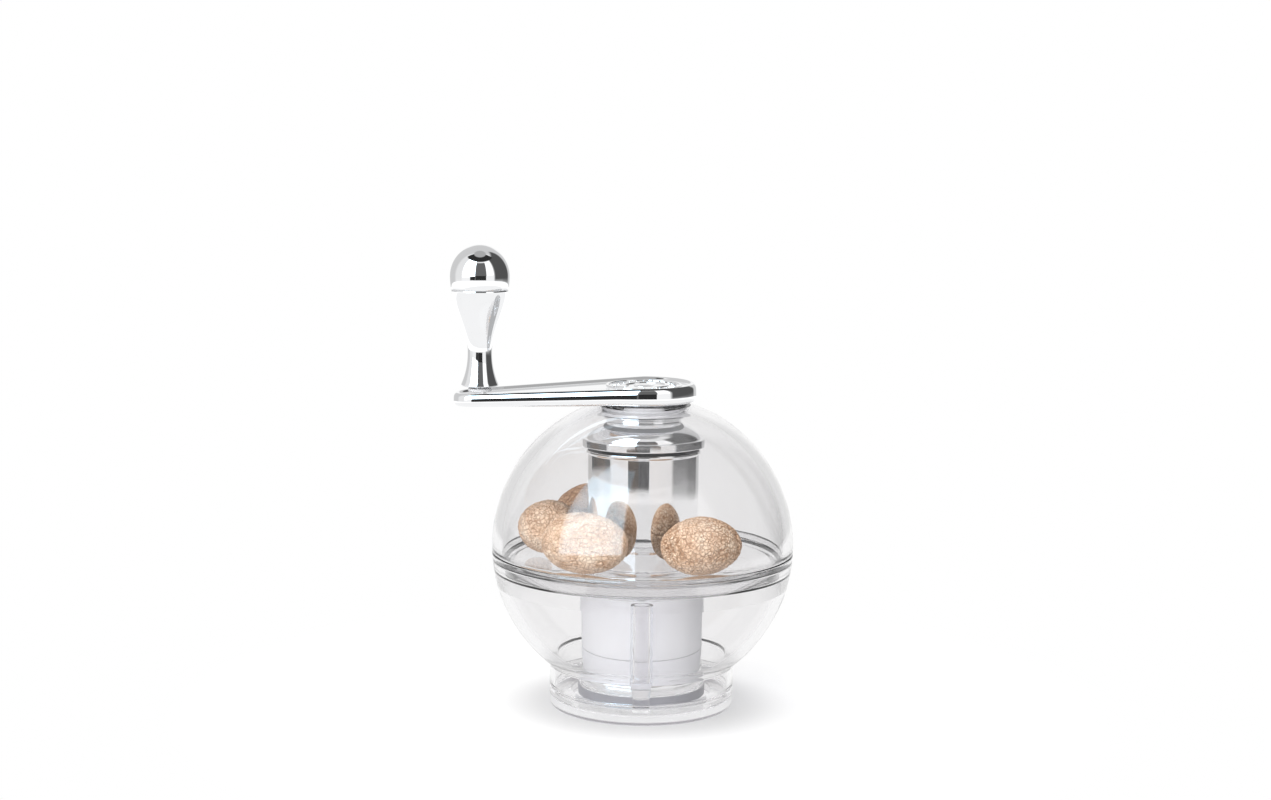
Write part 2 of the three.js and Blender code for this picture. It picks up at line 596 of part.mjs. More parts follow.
// Crank arm: rings of points from the flat underside, round the edge and over the rim to the recessed top.
function armBody() {
  const half = armOutline();
  const slopeW = RIM_W - RIM_CREST;
  const rings = [
    ...QUARTER.map(([x, z]) => [ARM_EDGE * (1 - z), (at) => armUnderZ(at) + ARM_EDGE * x]),
    ...QUARTER.map(([x, z]) => [RIM_CREST * x, (at) => armTopZ(at) - ARM_EDGE * (1 - z)]),
    ...QUARTER.slice(1).map(([x, z]) => [RIM_CREST + slopeW * z, (at) => armTopZ(at) - RIM_H * x]),
  ];
  const count = 2 * half.length - 2;
  const positions = [];
  for (const [inset, height] of rings) {
    const row = half.map(([cx, r, a]) => [cx + (r - inset) * Math.cos(a), (r - inset) * Math.sin(a)]);
    const back = row.slice(1, -1).reverse().map(([x, y]) => [x, -y]);
    for (const [x, y] of [...row, ...back]) positions.push(x, y, height(x));
  }
  const index = [];
  for (let k = 0; k < rings.length - 1; k += 1) {
    for (let i = 0; i < count; i += 1) {
      const j = (i + 1) % count;
      const [a, b, c, d] = [k * count + i, k * count + j, (k + 1) * count + j, (k + 1) * count + i];
      index.push(a, b, c, a, c, d);
    }
  }
  for (const [base, flip] of [[0, true], [(rings.length - 1) * count, false]]) {
    for (let i = 0; i < half.length - 1; i += 1) {
      const [p, q] = [base + i, base + i + 1];
      const [r, s] = [base + ((count - i - 1) % count), base + ((count - i) % count)];
      const quad = i === 0 ? [[p, q, r]] : [[p, q, r], [p, r, s]];
      const last = i === half.length - 2 ? [[p, q, s]] : quad;
      for (const [u, v, w] of last) index.push(...(flip ? [v, u, w] : [u, v, w]));
    }
  }
  const geometry = new THREE.BufferGeometry();
  geometry.setAttribute('position', new THREE.Float32BufferAttribute(positions, 3));
  geometry.setIndex(index);
  return clean(geometry);
}

function crankArm() {
  const tipUnder = armUnderZ(-ARM_LEN);
  const tipTop = armTopZ(-ARM_LEN);
  const side = SHAFT_SQUARE + 2 * GAP;
  const recess = ring(WASHER_POCKET_R - GAP, RECESS_R, ARM_UNDER - OVERCUT, ARM_UNDER + RECESS_H);
  const socket = box(side, side, ARM_UNDER - OVERCUT, ARM_UNDER + SOCKET_DEPTH);
  const pinHole = ring(0, PIN_R + GAP, tipUnder - OVERCUT, tipTop + OVERCUT, SMALL_SIDES);
  const headPocket = ring(0, PIN_HEAD_R + GAP, tipUnder - OVERCUT, tipUnder + PIN_HEAD_T + GAP, SMALL_SIDES);
  const boss = ring(0, KNOB_WASHER_R + BOSS_W, tipUnder + PIN_HEAD_T, tipTop, SMALL_SIDES);
  return cut(join(armBody(), onKnobAxis(boss)), recess, socket, onKnobAxis(pinHole), onKnobAxis(headPocket));
}

// Square drive shaft with a round journal in the web and a collar under it.
function driveShaft() {
  const top = ARM_UNDER + SOCKET_DEPTH - GAP;
  const square = box(SHAFT_SQUARE, SHAFT_SQUARE, SHAFT_BOTTOM, top);
  const journal = ring(0, JOURNAL_R, SHAFT_COLLAR_Z, WEB_TOP + WASHER_T, SMALL_SIDES);
  const collar = ring(0, SHAFT_COLLAR_R, SHAFT_COLLAR_Z, SHAFT_COLLAR_Z + SHAFT_COLLAR_T, SMALL_SIDES);
  return join(square, journal, collar);
}

// Compression spring: one unbroken wire, with its ends closed flat.
function springPoints() {
  const steps = SPRING_TURNS * CURL_STEPS;
  const low = SPRING_BOTTOM + WIRE_R;
  const high = SPRING_TOP - WIRE_R;
  return Array.from({ length: steps + 1 }, (_, i) => {
    const t = i / steps;
    const a = t * SPRING_TURNS * 2 * Math.PI;
    return new THREE.Vector3(SPRING_R * Math.cos(a), SPRING_R * Math.sin(a), low + (high - low) * t);
  });
}

function spring() {
  const points = springPoints();
  const positions = [];
  for (const p of points) {
    const out = new THREE.Vector3(p.x, p.y, 0).normalize();
    for (let k = 0; k < WIRE_SIDES; k += 1) {
      const a = (k * 2 * Math.PI) / WIRE_SIDES;
      const q = p.clone().addScaledVector(out, WIRE_R * Math.cos(a));
      positions.push(q.x, q.y, q.z + WIRE_R * Math.sin(a));
    }
  }
  const index = [];
  for (let i = 0; i < points.length - 1; i += 1) {
    for (let k = 0; k < WIRE_SIDES; k += 1) {
      const m = (k + 1) % WIRE_SIDES;
      const [a, b] = [i * WIRE_SIDES + k, i * WIRE_SIDES + m];
      index.push(a, b, b + WIRE_SIDES, a, b + WIRE_SIDES, a + WIRE_SIDES);
    }
  }
  const last = (points.length - 1) * WIRE_SIDES;
  for (let k = 1; k < WIRE_SIDES - 1; k += 1) {
    index.push(0, k + 1, k, last, last + k, last + k + 1);
  }
  const geometry = new THREE.BufferGeometry();
  geometry.setAttribute('position', new THREE.Float32BufferAttribute(positions, 3));
  geometry.setIndex(index);
  return clean(geometry);
}

// Least gap between the spring's own turns, measured between points a half turn or more apart.
function springGap() {
  const points = springPoints();
  let least = Infinity;
  for (let i = 0; i < points.length; i += 1) {
    for (let j = i + CURL_STEPS / 2; j < points.length; j += 1) {
      least = Math.min(least, points[i].distanceTo(points[j]) - 2 * WIRE_R);
    }
  }
  return least;
}

// The sprung claw plunger

// Plunger stem: a tube with a square bore on the shaft, with a flange on the claw plate.
function plungerStem() {
  const tail = PLATE_BOTTOM - NUT_T - STEM_TAIL;
  const body = turned([
    [0, tail],
    [STEM_R, tail],
    [STEM_R, STEM_FLANGE_Z],
    [STEM_FLANGE_R, STEM_FLANGE_Z],
    [STEM_FLANGE_R, STEM_FLANGE_Z + STEM_FLANGE_T],
    [STEM_R, STEM_FLANGE_Z + STEM_FLANGE_T],
    [STEM_R, STEM_TOP],
    [0, STEM_TOP],
  ], SMALL_SIDES, true);
  const bore = SHAFT_SQUARE + 2 * GAP;
  return cut(body, box(bore, bore, tail - OVERCUT, STEM_TOP + OVERCUT));
}

// Claw plate: a round plate with a ring of pointed claws.
function clawPlate() {
  const plate = ring(STEM_R + GAP, PLATE_R, PLATE_BOTTOM, PLATE_BOTTOM + PLATE_T, MID_SIDES);
  const claws = around(CLAW_COUNT, (a) => {
    const outline = new THREE.Shape();
    outline.moveTo(-CLAW_W / 2, CLAW_ROOT);
    outline.lineTo(-CLAW_W / 2, 0);
    outline.lineTo(0, -CLAW_LEN);
    outline.lineTo(CLAW_W / 2, 0);
    outline.lineTo(CLAW_W / 2, CLAW_ROOT);
    const claw = new THREE.ExtrudeGeometry(outline, { depth: CLAW_T, bevelEnabled: false });
    claw.rotateX(Math.PI / 2).translate(0, CLAW_CIRCLE_R + CLAW_T / 2, PLATE_BOTTOM);
    return clean(claw).rotateZ(a * DEG);
  });
  return join(plate, ...claws);
}

function clawNut() {
  return ring(STEM_R + GAP, NUT_R, PLATE_BOTTOM - NUT_T, PLATE_BOTTOM, SMALL_SIDES);
}

// The knob on the arm's end

const KNOB_Z = armTopZ(-ARM_LEN) + KNOB_WASHER_T + 2 * GAP;
const KNOB_SPLIT_Z = KNOB_Z + KNOB_SPLIT_UP;
const PIN_TOP = KNOB_SPLIT_Z + RIVET_H;

// Radius of the knob at a height above its underside: a flared base, a slim waist and a round head.
function knobRadius(up) {
  if (up < KNOB_WAIST_UP) {
    const t = 1 - up / KNOB_WAIST_UP;
    return KNOB_WAIST_R + (KNOB_BASE_R - KNOB_WAIST_R) * t ** KNOB_FLARE_POWER;
  }
  if (up < KNOB_HEAD_UP) {
    const t = (up - KNOB_WAIST_UP) / (KNOB_HEAD_UP - KNOB_WAIST_UP);
    return KNOB_WAIST_R + (KNOB_HEAD_R - KNOB_WAIST_R) * (1 - Math.cos(t * Math.PI)) / 2;
  }
  const t = (up - KNOB_HEAD_UP) / (KNOB_H - KNOB_HEAD_UP);
  return KNOB_HEAD_R * Math.sqrt(Math.max(0, 1 - t * t));
}

// Points of the knob's side between two heights above its underside, in n steps.
function knobSide(from, to, n, spread) {
  return Array.from({ length: n + 1 }, (_, i) => {
    const up = from + (to - from) * spread(i / n);
    return [knobRadius(up), KNOB_Z + up];
  });
}

// Knob with a through bore for the pin.
function knob() {
  const bore = PIN_R + PIN_GAP;
  const side = knobSide(0, KNOB_SPLIT_UP, 11, (t) => t);
  return onKnobAxis(turned([[bore, KNOB_Z], ...side, [bore, KNOB_SPLIT_Z]], SMALL_SIDES));
}

// Cap that closes the knob over the pin's riveted end.
function knobCap() {
  const pocketR = PIN_HEAD_R + GAP;
  const side = knobSide(KNOB_SPLIT_UP + PIN_GAP, KNOB_H, 8, (t) => Math.sin((t * Math.PI) / 2));
  side[side.length - 1][0] = 0;
  return onKnobAxis(turned([
    [0, PIN_TOP + PIN_HEAD_T],
    [pocketR, PIN_TOP + PIN_HEAD_T],
    [pocketR, KNOB_SPLIT_Z + PIN_GAP],
    ...side,
  ], SMALL_SIDES, true));
}

// Pin riveted through the arm's end, with a head at the bottom and one inside the knob.
function knobPin() {
  const under = armUnderZ(-ARM_LEN);
  return onKnobAxis(turned([
    [0, under],
    [PIN_HEAD_R, under],
    [PIN_HEAD_R, under + PIN_HEAD_T],
    [PIN_R, under + PIN_HEAD_T],
    [PIN_R, KNOB_SPLIT_Z + GAP],
    [PIN_HEAD_R, KNOB_SPLIT_Z + GAP],
    [PIN_HEAD_R, PIN_TOP],
    [0, PIN_TOP],
  ], SMALL_SIDES, true));
}

function knobWasher() {
  const z = armTopZ(-ARM_LEN);
  return onKnobAxis(ring(PIN_R + PIN_GAP, KNOB_WASHER_R, z, z + KNOB_WASHER_T, SMALL_SIDES));
}

// A stored nutmeg: an egg shape lying on the floor, between the tube and the ball.
function nutmeg({ angle, fill, long, tall }) {
  const storeW = BALL_IN_R - TUBE_R;
  const ringR = TUBE_R + storeW / 2 - NUTMEG_SHIFT;
  const across = (fill * storeW) / 2;
  const rimR = sphereX(BALL_IN_R - GAP, FLOOR_RIM_Z);
  const innerR = TUBE_R + GAP + COLLAR_T + COLLAR_FLARE;
  const floorZ = FLOOR_INNER_Z + (DISH * (ringR - innerR)) / (rimR - innerR);
  const egg = new THREE.SphereGeometry(1, 16, 8).rotateX(Math.PI / 2);
  egg.scale(across, ringR * long, across * tall);
  egg.translate(ringR, 0, floorZ + across * tall + GAP);
  return clean(egg).rotateZ(angle * DEG);
}

add('upper_shell', upperShell(), clearAcrylic);
add('lower_shell', lowerShell(), clearAcrylic);
add('base_cap', baseCap(), clearAcrylic);
add('nutmeg_floor', nutmegFloor(), clearAcrylic);
add('chamber_sleeve', sleeve(), frostedPlastic);
add('front_post', post(), clearAcrylic);
add('rear_post', post().rotateZ(Math.PI), clearAcrylic);
add('chamber_tube', chamberTube(), polishedSteel);
add('blade_housing', bladeHousing(), polishedSteel);
add('blade_disc', bladeDisc(), bladeSteel);
add('tube_cap', tubeCap(), chrome);
add('neck_bush', neckBush(), nylon);
add('retaining_ring', retainingRing(), springSteel);
add('thrust_washer', thrustWasher(), nylon);
add('crank_arm', crankArm(), chrome);
add('drive_shaft', driveShaft(), polishedSteel);
add('plunger_spring', spring(), springSteel);
add('plunger_stem', plungerStem(), nylon);
add('claw_plate', clawPlate(), bladeSteel);
add('claw_nut', clawNut(), springSteel);
add('knob', knob(), chrome);
add('knob_cap', knobCap(), chrome);
add('knob_pin', knobPin(), polishedSteel);
add('knob_washer', knobWasher(), nylon);
NUTMEGS.forEach((size, i) => add(`nutmeg_${i + 1}`, nutmeg(size), nutmegShell));

console.log(`plunger_spring: least gap between its turns ${springGap().toFixed(2)} mm`);

export default group;
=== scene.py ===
# Looks of the hand cranked nutmeg grater: clear ball and foot, chrome crank and cap, steel tube and
# stored nutmegs, on a white table under soft studio light. Sizes are in millimetres and are turned
# into metres when a mesh is made.
import math

import bmesh
import bpy
import numpy as np
from mathutils import Matrix


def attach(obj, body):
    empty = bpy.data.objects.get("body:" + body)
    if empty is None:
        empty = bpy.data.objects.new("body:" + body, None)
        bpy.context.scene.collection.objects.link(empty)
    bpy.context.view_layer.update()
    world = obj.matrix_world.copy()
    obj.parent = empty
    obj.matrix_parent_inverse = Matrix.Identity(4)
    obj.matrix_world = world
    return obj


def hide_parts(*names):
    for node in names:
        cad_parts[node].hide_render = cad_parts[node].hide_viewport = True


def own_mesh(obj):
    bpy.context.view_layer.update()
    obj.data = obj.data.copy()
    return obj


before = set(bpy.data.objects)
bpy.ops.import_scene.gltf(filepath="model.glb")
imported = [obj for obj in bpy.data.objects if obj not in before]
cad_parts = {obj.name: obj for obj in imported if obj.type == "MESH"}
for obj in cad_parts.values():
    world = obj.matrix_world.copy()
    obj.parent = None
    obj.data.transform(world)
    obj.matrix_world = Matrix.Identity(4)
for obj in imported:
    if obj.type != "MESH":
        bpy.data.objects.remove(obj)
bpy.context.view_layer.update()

MM = 0.001
TAU = 2 * math.pi

# Sizes of the object, as in the frame
GAP = 0.3
FIT = 0.15
TUBE_R = 13.75
TUBE_WALL = 0.8
BEAD_W = 0.4
BEAD_H = 1.2
SLEEVE_R = TUBE_R + GAP + 1.15
SLEEVE_BOTTOM = 15
SLEEVE_DROP = 0.2
POST_R = 2.7
POST_BORE_R = 1.75
POST_CIRCLE_R = SLEEVE_R + 0.69 + POST_R
POST_SHOULDER = 10.2
POST_BORE_UP = 1.2
PEG_R = 2.05
PEG_SHOULDER = 6.2
PEG_BOTTOM = 3.5
FOOT_WALL = 1.3
FOOT_R = POST_CIRCLE_R + POST_R + 0.41 + FOOT_WALL
FOOT_Z = 5.5
FOOT_TOP = 10.78
FOOT_CORNER = 1.5
LIP_H = 1.1
LIP_T = 0.5
BALL_R = 37.5
BALL_WALL = 2.5
BALL_IN_R = BALL_R - BALL_WALL
BALL_Z = FOOT_TOP + math.sqrt(BALL_R**2 - FOOT_R**2)
CROWN_Z = BALL_Z + BALL_R
SEAM_Z = BALL_Z - 1.05
TONGUE_H = 1.45
TONGUE_T = 1.1
HOUSING_R = SLEEVE_R + 0.7
HOUSING_BOTTOM = 3
HOUSING_SEAT_W = 1.6
# Top of the painted dark reflection on the housing's foot
HOUSING_DARK_REFLECTION_TOP = 5.6
BLADE_TOP = 8.4
BLADE_T = 1
CAP_FLOOR = 1.6
CAP_BORE_R = HOUSING_R + 1.7
CAP_EDGE = 1.5
FLOOR_T = 3.8
FLOOR_EDGE_Z = BALL_Z - 5.9
FLOOR_RIM_Z = FLOOR_EDGE_Z + FLOOR_T
FLOOR_INNER_Z = FLOOR_RIM_Z - 3.3
FLOOR_UNDER_Z = FLOOR_INNER_Z - FLOOR_T
LEDGE_W = 0.7
FLOOR_LAND = 1.15
FLOOR_HUB_W = 1
COLLAR_H = 1.2
COLLAR_T = 1.15
COLLAR_FLARE = 0.6
TUBE_BOTTOM = BLADE_TOP + GAP
TUBE_TOP = CROWN_Z - 13.15
NECK_R = 9.2
NECK_BORE_R = 7.6
NECK_TOP = CROWN_Z
NECK_BASE = CROWN_Z - 6.6
WASHER_POCKET_R = 6.6
WEB_BOTTOM = CROWN_Z - 3.5
WEB_TOP = WEB_BOTTOM + 1.6
FLANGE_R = TUBE_R + 1.35
FLANGE_Z = TUBE_TOP + GAP
FLANGE_T = 1.35
FLANGE_RISE = 0.25
FLANGE_MORE = 0.85
# How far above the flange's foot the painted shadow of the gap reaches
CAP_GAP_SHADOW_UP = 0.35
SHOULDER_STEP = 1.1
SHOULDER_POWER = 1.8
SPIGOT_H = 3
SPIGOT_T = 1.2
TOP_HOLE_R = NECK_R + 2 * GAP + 0.5
GROOVE_DEPTH = 0.7
RING_R = TOP_HOLE_R + 0.6
RING_T = 0.6
RING_SLIT_W = 3
BEARING_BEAD = 0.6
BEARING_BEAD_H = 0.5
BUSH_FLANGE_R = TOP_HOLE_R + 1.1
BUSH_FLANGE_T = 0.55
SHAFT_SQUARE = 5
SOCKET_DEPTH = 2.6
JOURNAL_R = 3.55
SHAFT_COLLAR_R = 6.6
SHAFT_COLLAR_T = 1.2
SHAFT_COLLAR_Z = WEB_BOTTOM - GAP - SHAFT_COLLAR_T
WASHER_T = 0.6
STROKE = 22
CLAW_LEN = 5.8
CLAW_COUNT = 6
CLAW_W = 4.4
CLAW_T = 1.2
CLAW_ROOT = 0.5
CLAW_CIRCLE_R = 9
PLATE_R = 12.3
PLATE_T = 2
PLATE_BOTTOM = BLADE_TOP + 4.8 + CLAW_LEN
STEM_R = 4.7
STEM_FLANGE_R = 6.9
STEM_FLANGE_T = 1.2
STEM_FLANGE_Z = PLATE_BOTTOM + PLATE_T
STEM_TOP = SHAFT_COLLAR_Z - 2 * GAP - STROKE
SHAFT_BOTTOM = STEM_TOP - 7.8
NUT_R = 7
NUT_T = 1.3
WIRE_R = 0.55
SPRING_R = 5.75
SPRING_TURNS = 12
SPRING_BOTTOM = STEM_FLANGE_Z + STEM_FLANGE_T + GAP
SPRING_TOP = SHAFT_COLLAR_Z - GAP
HUB_R = 13
TIP_R = 6.5
ARM_LEN = 40.65
ARM_UNDER = WEB_TOP + WASHER_T + 0.25
ARM_TOP = ARM_UNDER + 4.45
ARM_FALL = 0.0615
ARM_UNDER_FALL = 0.04
ARM_EDGE = 1.2
RIM_W = 1.9
RIM_CREST = 0.85
RIM_H = 0.7
MARK_SUNK = 0.25
MARK_H = 0.3
MARK_R = 9.5
MARK_RING_W = 0.7
MARK_BARS = 24
MARK_BAR_INNER = 6.9
MARK_BAR_OUTER = 8
MARK_ARROW_R = 5.6
MARK_DOME_R = 2.6
PIN_R = 1.7
PIN_HEAD_R = 2.7
PIN_HEAD_T = 1
RIVET_H = 1.4
KNOB_WASHER_R = 2.9
KNOB_WASHER_T = 0.7
KNOB_BASE_R = 4.8
KNOB_WAIST_R = 3
KNOB_HEAD_R = 7.4
KNOB_WAIST_UP = 8.4
KNOB_SPLIT_UP = 23.9
KNOB_HEAD_UP = 27.1
KNOB_H = 34.9
KNOB_FLARE_POWER = 2.2

# For each stored nutmeg: its angle round the axis, its share of the store's width, its half length over the
# ring's radius, its height over its width, and how much darker it is than the palest
NUTMEGS = (
    (235.5, 0.847, 0.4895, 0.87, 0),
    (172.5, 0.828, 0.33, 0.84, 0.05),
    (124, 0.847, 0.455, 0.933, 1.25),
    (306, 0.875, 0.4435, 0.8, 0.25),
)
NUTMEG_SHIFT = 0.475
NUTMEG_CELLS = 430
FURROW_W = 0.3
FURROW_SINK = 0.26
WRINKLE_SINK = 0.06
LUMP_SINK = 0.45
SCAR_SINK = 0.5

ROUND, SQUARE, NOTCHED = 0, 1, 2


# Meshes


def full_turn(count):
    """That many angles, evenly spaced round a full turn."""
    return np.linspace(0, TAU, count, endpoint=False)


def arm_top_z(x):
    """Height of the arm's top: level over one half of the hub, then falling evenly towards the tip."""
    return ARM_TOP + ARM_FALL * np.minimum(0, x)


def arm_under_z(x):
    """Height of its underside: level to a tip radius past the axis, then falling less than the top does."""
    return ARM_UNDER + ARM_UNDER_FALL * np.minimum(0, x + TIP_R)


TIP_TOP_Z = float(arm_top_z(-ARM_LEN))
KNOB_Z = TIP_TOP_Z + KNOB_WASHER_T + 2 * GAP
KNOB_SPLIT_Z = KNOB_Z + KNOB_SPLIT_UP
PIN_TOP = KNOB_SPLIT_Z + RIVET_H


def ball_z(r, x, side=1):
    """Height on a sphere of radius r about the ball's centre, at a distance x from the axis."""
    return BALL_Z + side * math.sqrt(r * r - x * x)


def ball_x(r, z):
    """Distance from the axis on that sphere, at height z."""
    return math.sqrt(r * r - (z - BALL_Z) ** 2)


BUSH_Z = ball_z(BALL_IN_R, BUSH_FLANGE_R) - GAP - BUSH_FLANGE_T
RING_Z = ball_z(BALL_R, TOP_HOLE_R) + 0.2


def ball_arc(r, z0, z1, step=0.7):
    """Outline points on the sphere of radius r from height z0 to z1, evenly spaced by angle."""
    a0 = math.asin((z0 - BALL_Z) / r)
    a1 = math.asin((z1 - BALL_Z) / r)
    count = max(3, round(abs(a1 - a0) * r / step))
    return [(r * math.cos(a), BALL_Z + r * math.sin(a)) for a in np.linspace(a0, a1, count + 1)]


def filleted(before, corner, after, radius, steps=6):
    """Points of the arc that rounds a corner: it touches both sides at the same distance from the corner."""
    a = before - corner
    b = after - corner
    near = min(np.linalg.norm(a), np.linalg.norm(b)) * 0.48
    a = a / np.linalg.norm(a)
    b = b / np.linalg.norm(b)
    half = math.acos(float(np.clip(a @ b, -1, 1))) / 2
    reach = min(radius / math.tan(half), near)
    middle = (a + b) / np.linalg.norm(a + b)
    centre = corner + middle * reach / math.cos(half)
    start = corner + a * reach - centre
    end = corner + b * reach - centre
    sweep = math.atan2(start[0] * end[1] - start[1] * end[0], start @ end)
    turns = np.linspace(0, sweep, steps + 1)
    x = start[0] * np.cos(turns) - start[1] * np.sin(turns)
    y = start[0] * np.sin(turns) + start[1] * np.cos(turns)
    return np.stack([x, y], 1) + centre


def finished(outline, looped, hold=0.12, long=1.0):
    """Rows of radius, height and kind: corners with a third value are rounded by it, and each long straight
    gets a point near either end, so that smooth shading stays flat between them."""
    full = [tuple(p) + (0, ROUND)[len(p) - 2:] for p in outline]
    rows = []
    for i, (x, z, radius, kind) in enumerate(full):
        if radius:
            before = np.array(full[i - 1][:2], float)
            after = np.array(full[(i + 1) % len(full)][:2], float)
            rows += [(*q, kind) for q in filleted(before, np.array([x, z], float), after, radius)]
        else:
            rows.append((x, z, kind))
    ends = rows[1:] + rows[:1] if looped else rows[1:]
    held = []
    for a, b in zip(rows, ends):
        held.append(a)
        length = math.hypot(b[0] - a[0], b[1] - a[1])
        if length > long and a[2] == b[2]:
            for t in (hold / length, 1 - hold / length):
                held.append((a[0] + (b[0] - a[0]) * t, a[1] + (b[1] - a[1]) * t, a[2]))
    if not looped:
        held.append(rows[-1])
    return np.array(held, float)


def grid_faces(rows, columns, wrap_rows):
    """Quads of a grid whose columns close round, and whose rows close too where asked."""
    last = rows if wrap_rows else rows - 1
    i, j = np.meshgrid(np.arange(last), np.arange(columns), indexing="ij")
    i2 = (i + 1) % rows
    j2 = (j + 1) % columns
    corners = [i * columns + j, i * columns + j2, i2 * columns + j2, i2 * columns + j]
    return np.stack(corners, -1).reshape(-1, 4)


def linked(name, data):
    """An object of the scene that shows a mesh, a lamp or a camera."""
    ob = bpy.data.objects.new(name, data)
    bpy.context.scene.collection.objects.link(ob)
    return ob


def piece(name, points, faces, body, finish, nodes=(), furrows_and_painted_shade=None):
    """A smooth mesh of points in millimetres that rides on a body and stands for CAD nodes. Points that
    coincide are merged, which closes seams and poles, and the faces are turned outward. The finish is a
    material with its slot, and the slot is not used."""
    look, slot = finish
    mesh = bpy.data.meshes.new(name)
    mesh.from_pydata((np.asarray(points) * MM).tolist(), [], [list(map(int, f)) for f in faces])
    if furrows_and_painted_shade is not None:
        mesh.attributes.new("furrow", "FLOAT", "POINT").data.foreach_set("value", furrows_and_painted_shade.astype(np.float32))
    work = bmesh.new()
    work.from_mesh(mesh)
    bmesh.ops.remove_doubles(work, verts=work.verts, dist=2e-7)
    if work.calc_volume(signed=True) < 0:
        bmesh.ops.reverse_faces(work, faces=work.faces)
    work.to_mesh(mesh)
    work.free()
    mesh.shade_smooth()
    mesh.materials.append(look)
    ob = linked(name, mesh)
    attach(ob, body)
    if nodes:
        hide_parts(*nodes)
    return ob


def notch_r(angle, r):
    """Radius of the base cap's bore with a round notch for each of the two pegs: the far side of a circle."""
    off = np.abs((angle % math.pi) - math.pi / 2)
    inside = (PEG_R + GAP) ** 2 - (POST_CIRCLE_R * np.sin(off)) ** 2
    far = POST_CIRCLE_R * np.cos(off) + np.sqrt(np.maximum(inside, 0))
    return np.where((inside > 0) & (off < 1), np.maximum(r, far), r)


def turned_points(outline, looped=True, columns=224, at=(0, 0)):
    """Points and faces of an outline turned about an upright axis. A square point's distance from the axis
    follows a square with rounded corners, and a notched one's the bore with its notches."""
    rows = finished(outline, looped)
    angle = full_turn(columns)[None, :]
    r = rows[:, :1]
    power = 40
    square = (np.abs(np.cos(angle)) ** power + np.abs(np.sin(angle)) ** power) ** (-1 / power)
    far = np.where(rows[:, 2:] == SQUARE, r * square, r * np.ones_like(angle))
    far = np.where(rows[:, 2:] == NOTCHED, notch_r(angle, r), far)
    z = rows[:, 1:2] * np.ones_like(angle)
    points = np.stack([at[0] + far * np.cos(angle), at[1] + far * np.sin(angle), z], -1)
    return points.reshape(-1, 3), grid_faces(len(rows), columns, looped)


def flat_ring(inner, outer, low, high, bore_edge, rim_edge):
    """The outline of a flat ring, with the radii of the edges at its bore and at its rim."""
    half = [(inner, low, bore_edge), (outer, low, rim_edge)]
    return half + [(outer, high, rim_edge), (inner, high, bore_edge)]


def turned(name, outline, body, finish, looped=True, columns=224, at=(0, 0)):
    """A turned piece in place of the CAD node of the same name."""
    points, faces = turned_points(outline, looped, columns, at)
    piece(name + "_look", points, faces, body, finish, [name])


def joined(*parts):
    """Points and faces of several closed forms as one."""
    points = []
    faces = []
    start = 0
    for some_points, some_faces in parts:
        points.append(some_points)
        faces += [[int(v) + start for v in f] for f in some_faces]
        start += len(some_points)
    return np.concatenate(points), faces


def lofted(rings):
    """Points and faces through rings of points, given as ring, point, xyz, with a flat face on either end."""
    count, around = rings.shape[:2]
    faces = grid_faces(count, around, False).tolist()
    faces.append(list(range(around))[::-1])
    faces.append(list(range((count - 1) * around, count * around)))
    return rings.reshape(-1, 3), faces


# Shader helpers


def operator(operation, swapped=False):
    """A method of Value that adds the Math node of an operation, with the two values swapped where asked."""
    def method(self, other):
        pair = (other, self) if swapped else (self, other)
        return self.finish.node("ShaderNodeMath", {"operation": operation}, dict(enumerate(pair)))
    return method


class Value:
    """A shader socket in a Python expression: each operator adds the Math node for it."""

    def __init__(self, finish, socket):
        self.finish = finish
        self.socket = socket

    __add__ = __radd__ = operator("ADD")
    __sub__ = operator("SUBTRACT")
    __rsub__ = operator("SUBTRACT", swapped=True)
    __mul__ = __rmul__ = operator("MULTIPLY")
    __gt__ = operator("GREATER_THAN")
    most = operator("MAXIMUM")
    arctan2 = operator("ARCTAN2")

    def between(self, low, high):
        """0 below low, 1 above high, and a smooth step from one to the other."""
        return self.finish.node("ShaderNodeMapRange", {"interpolation_type": "SMOOTHSTEP"},
                                {"Value": self, "From Min": low, "From Max": high})

    def band(self, low, high, soft):
        """1 from low to high and 0 beyond them, with edges that are twice the soft value wide."""
        return self.between(low - soft, low + soft) * (1 - self.between(high - soft, high + soft))


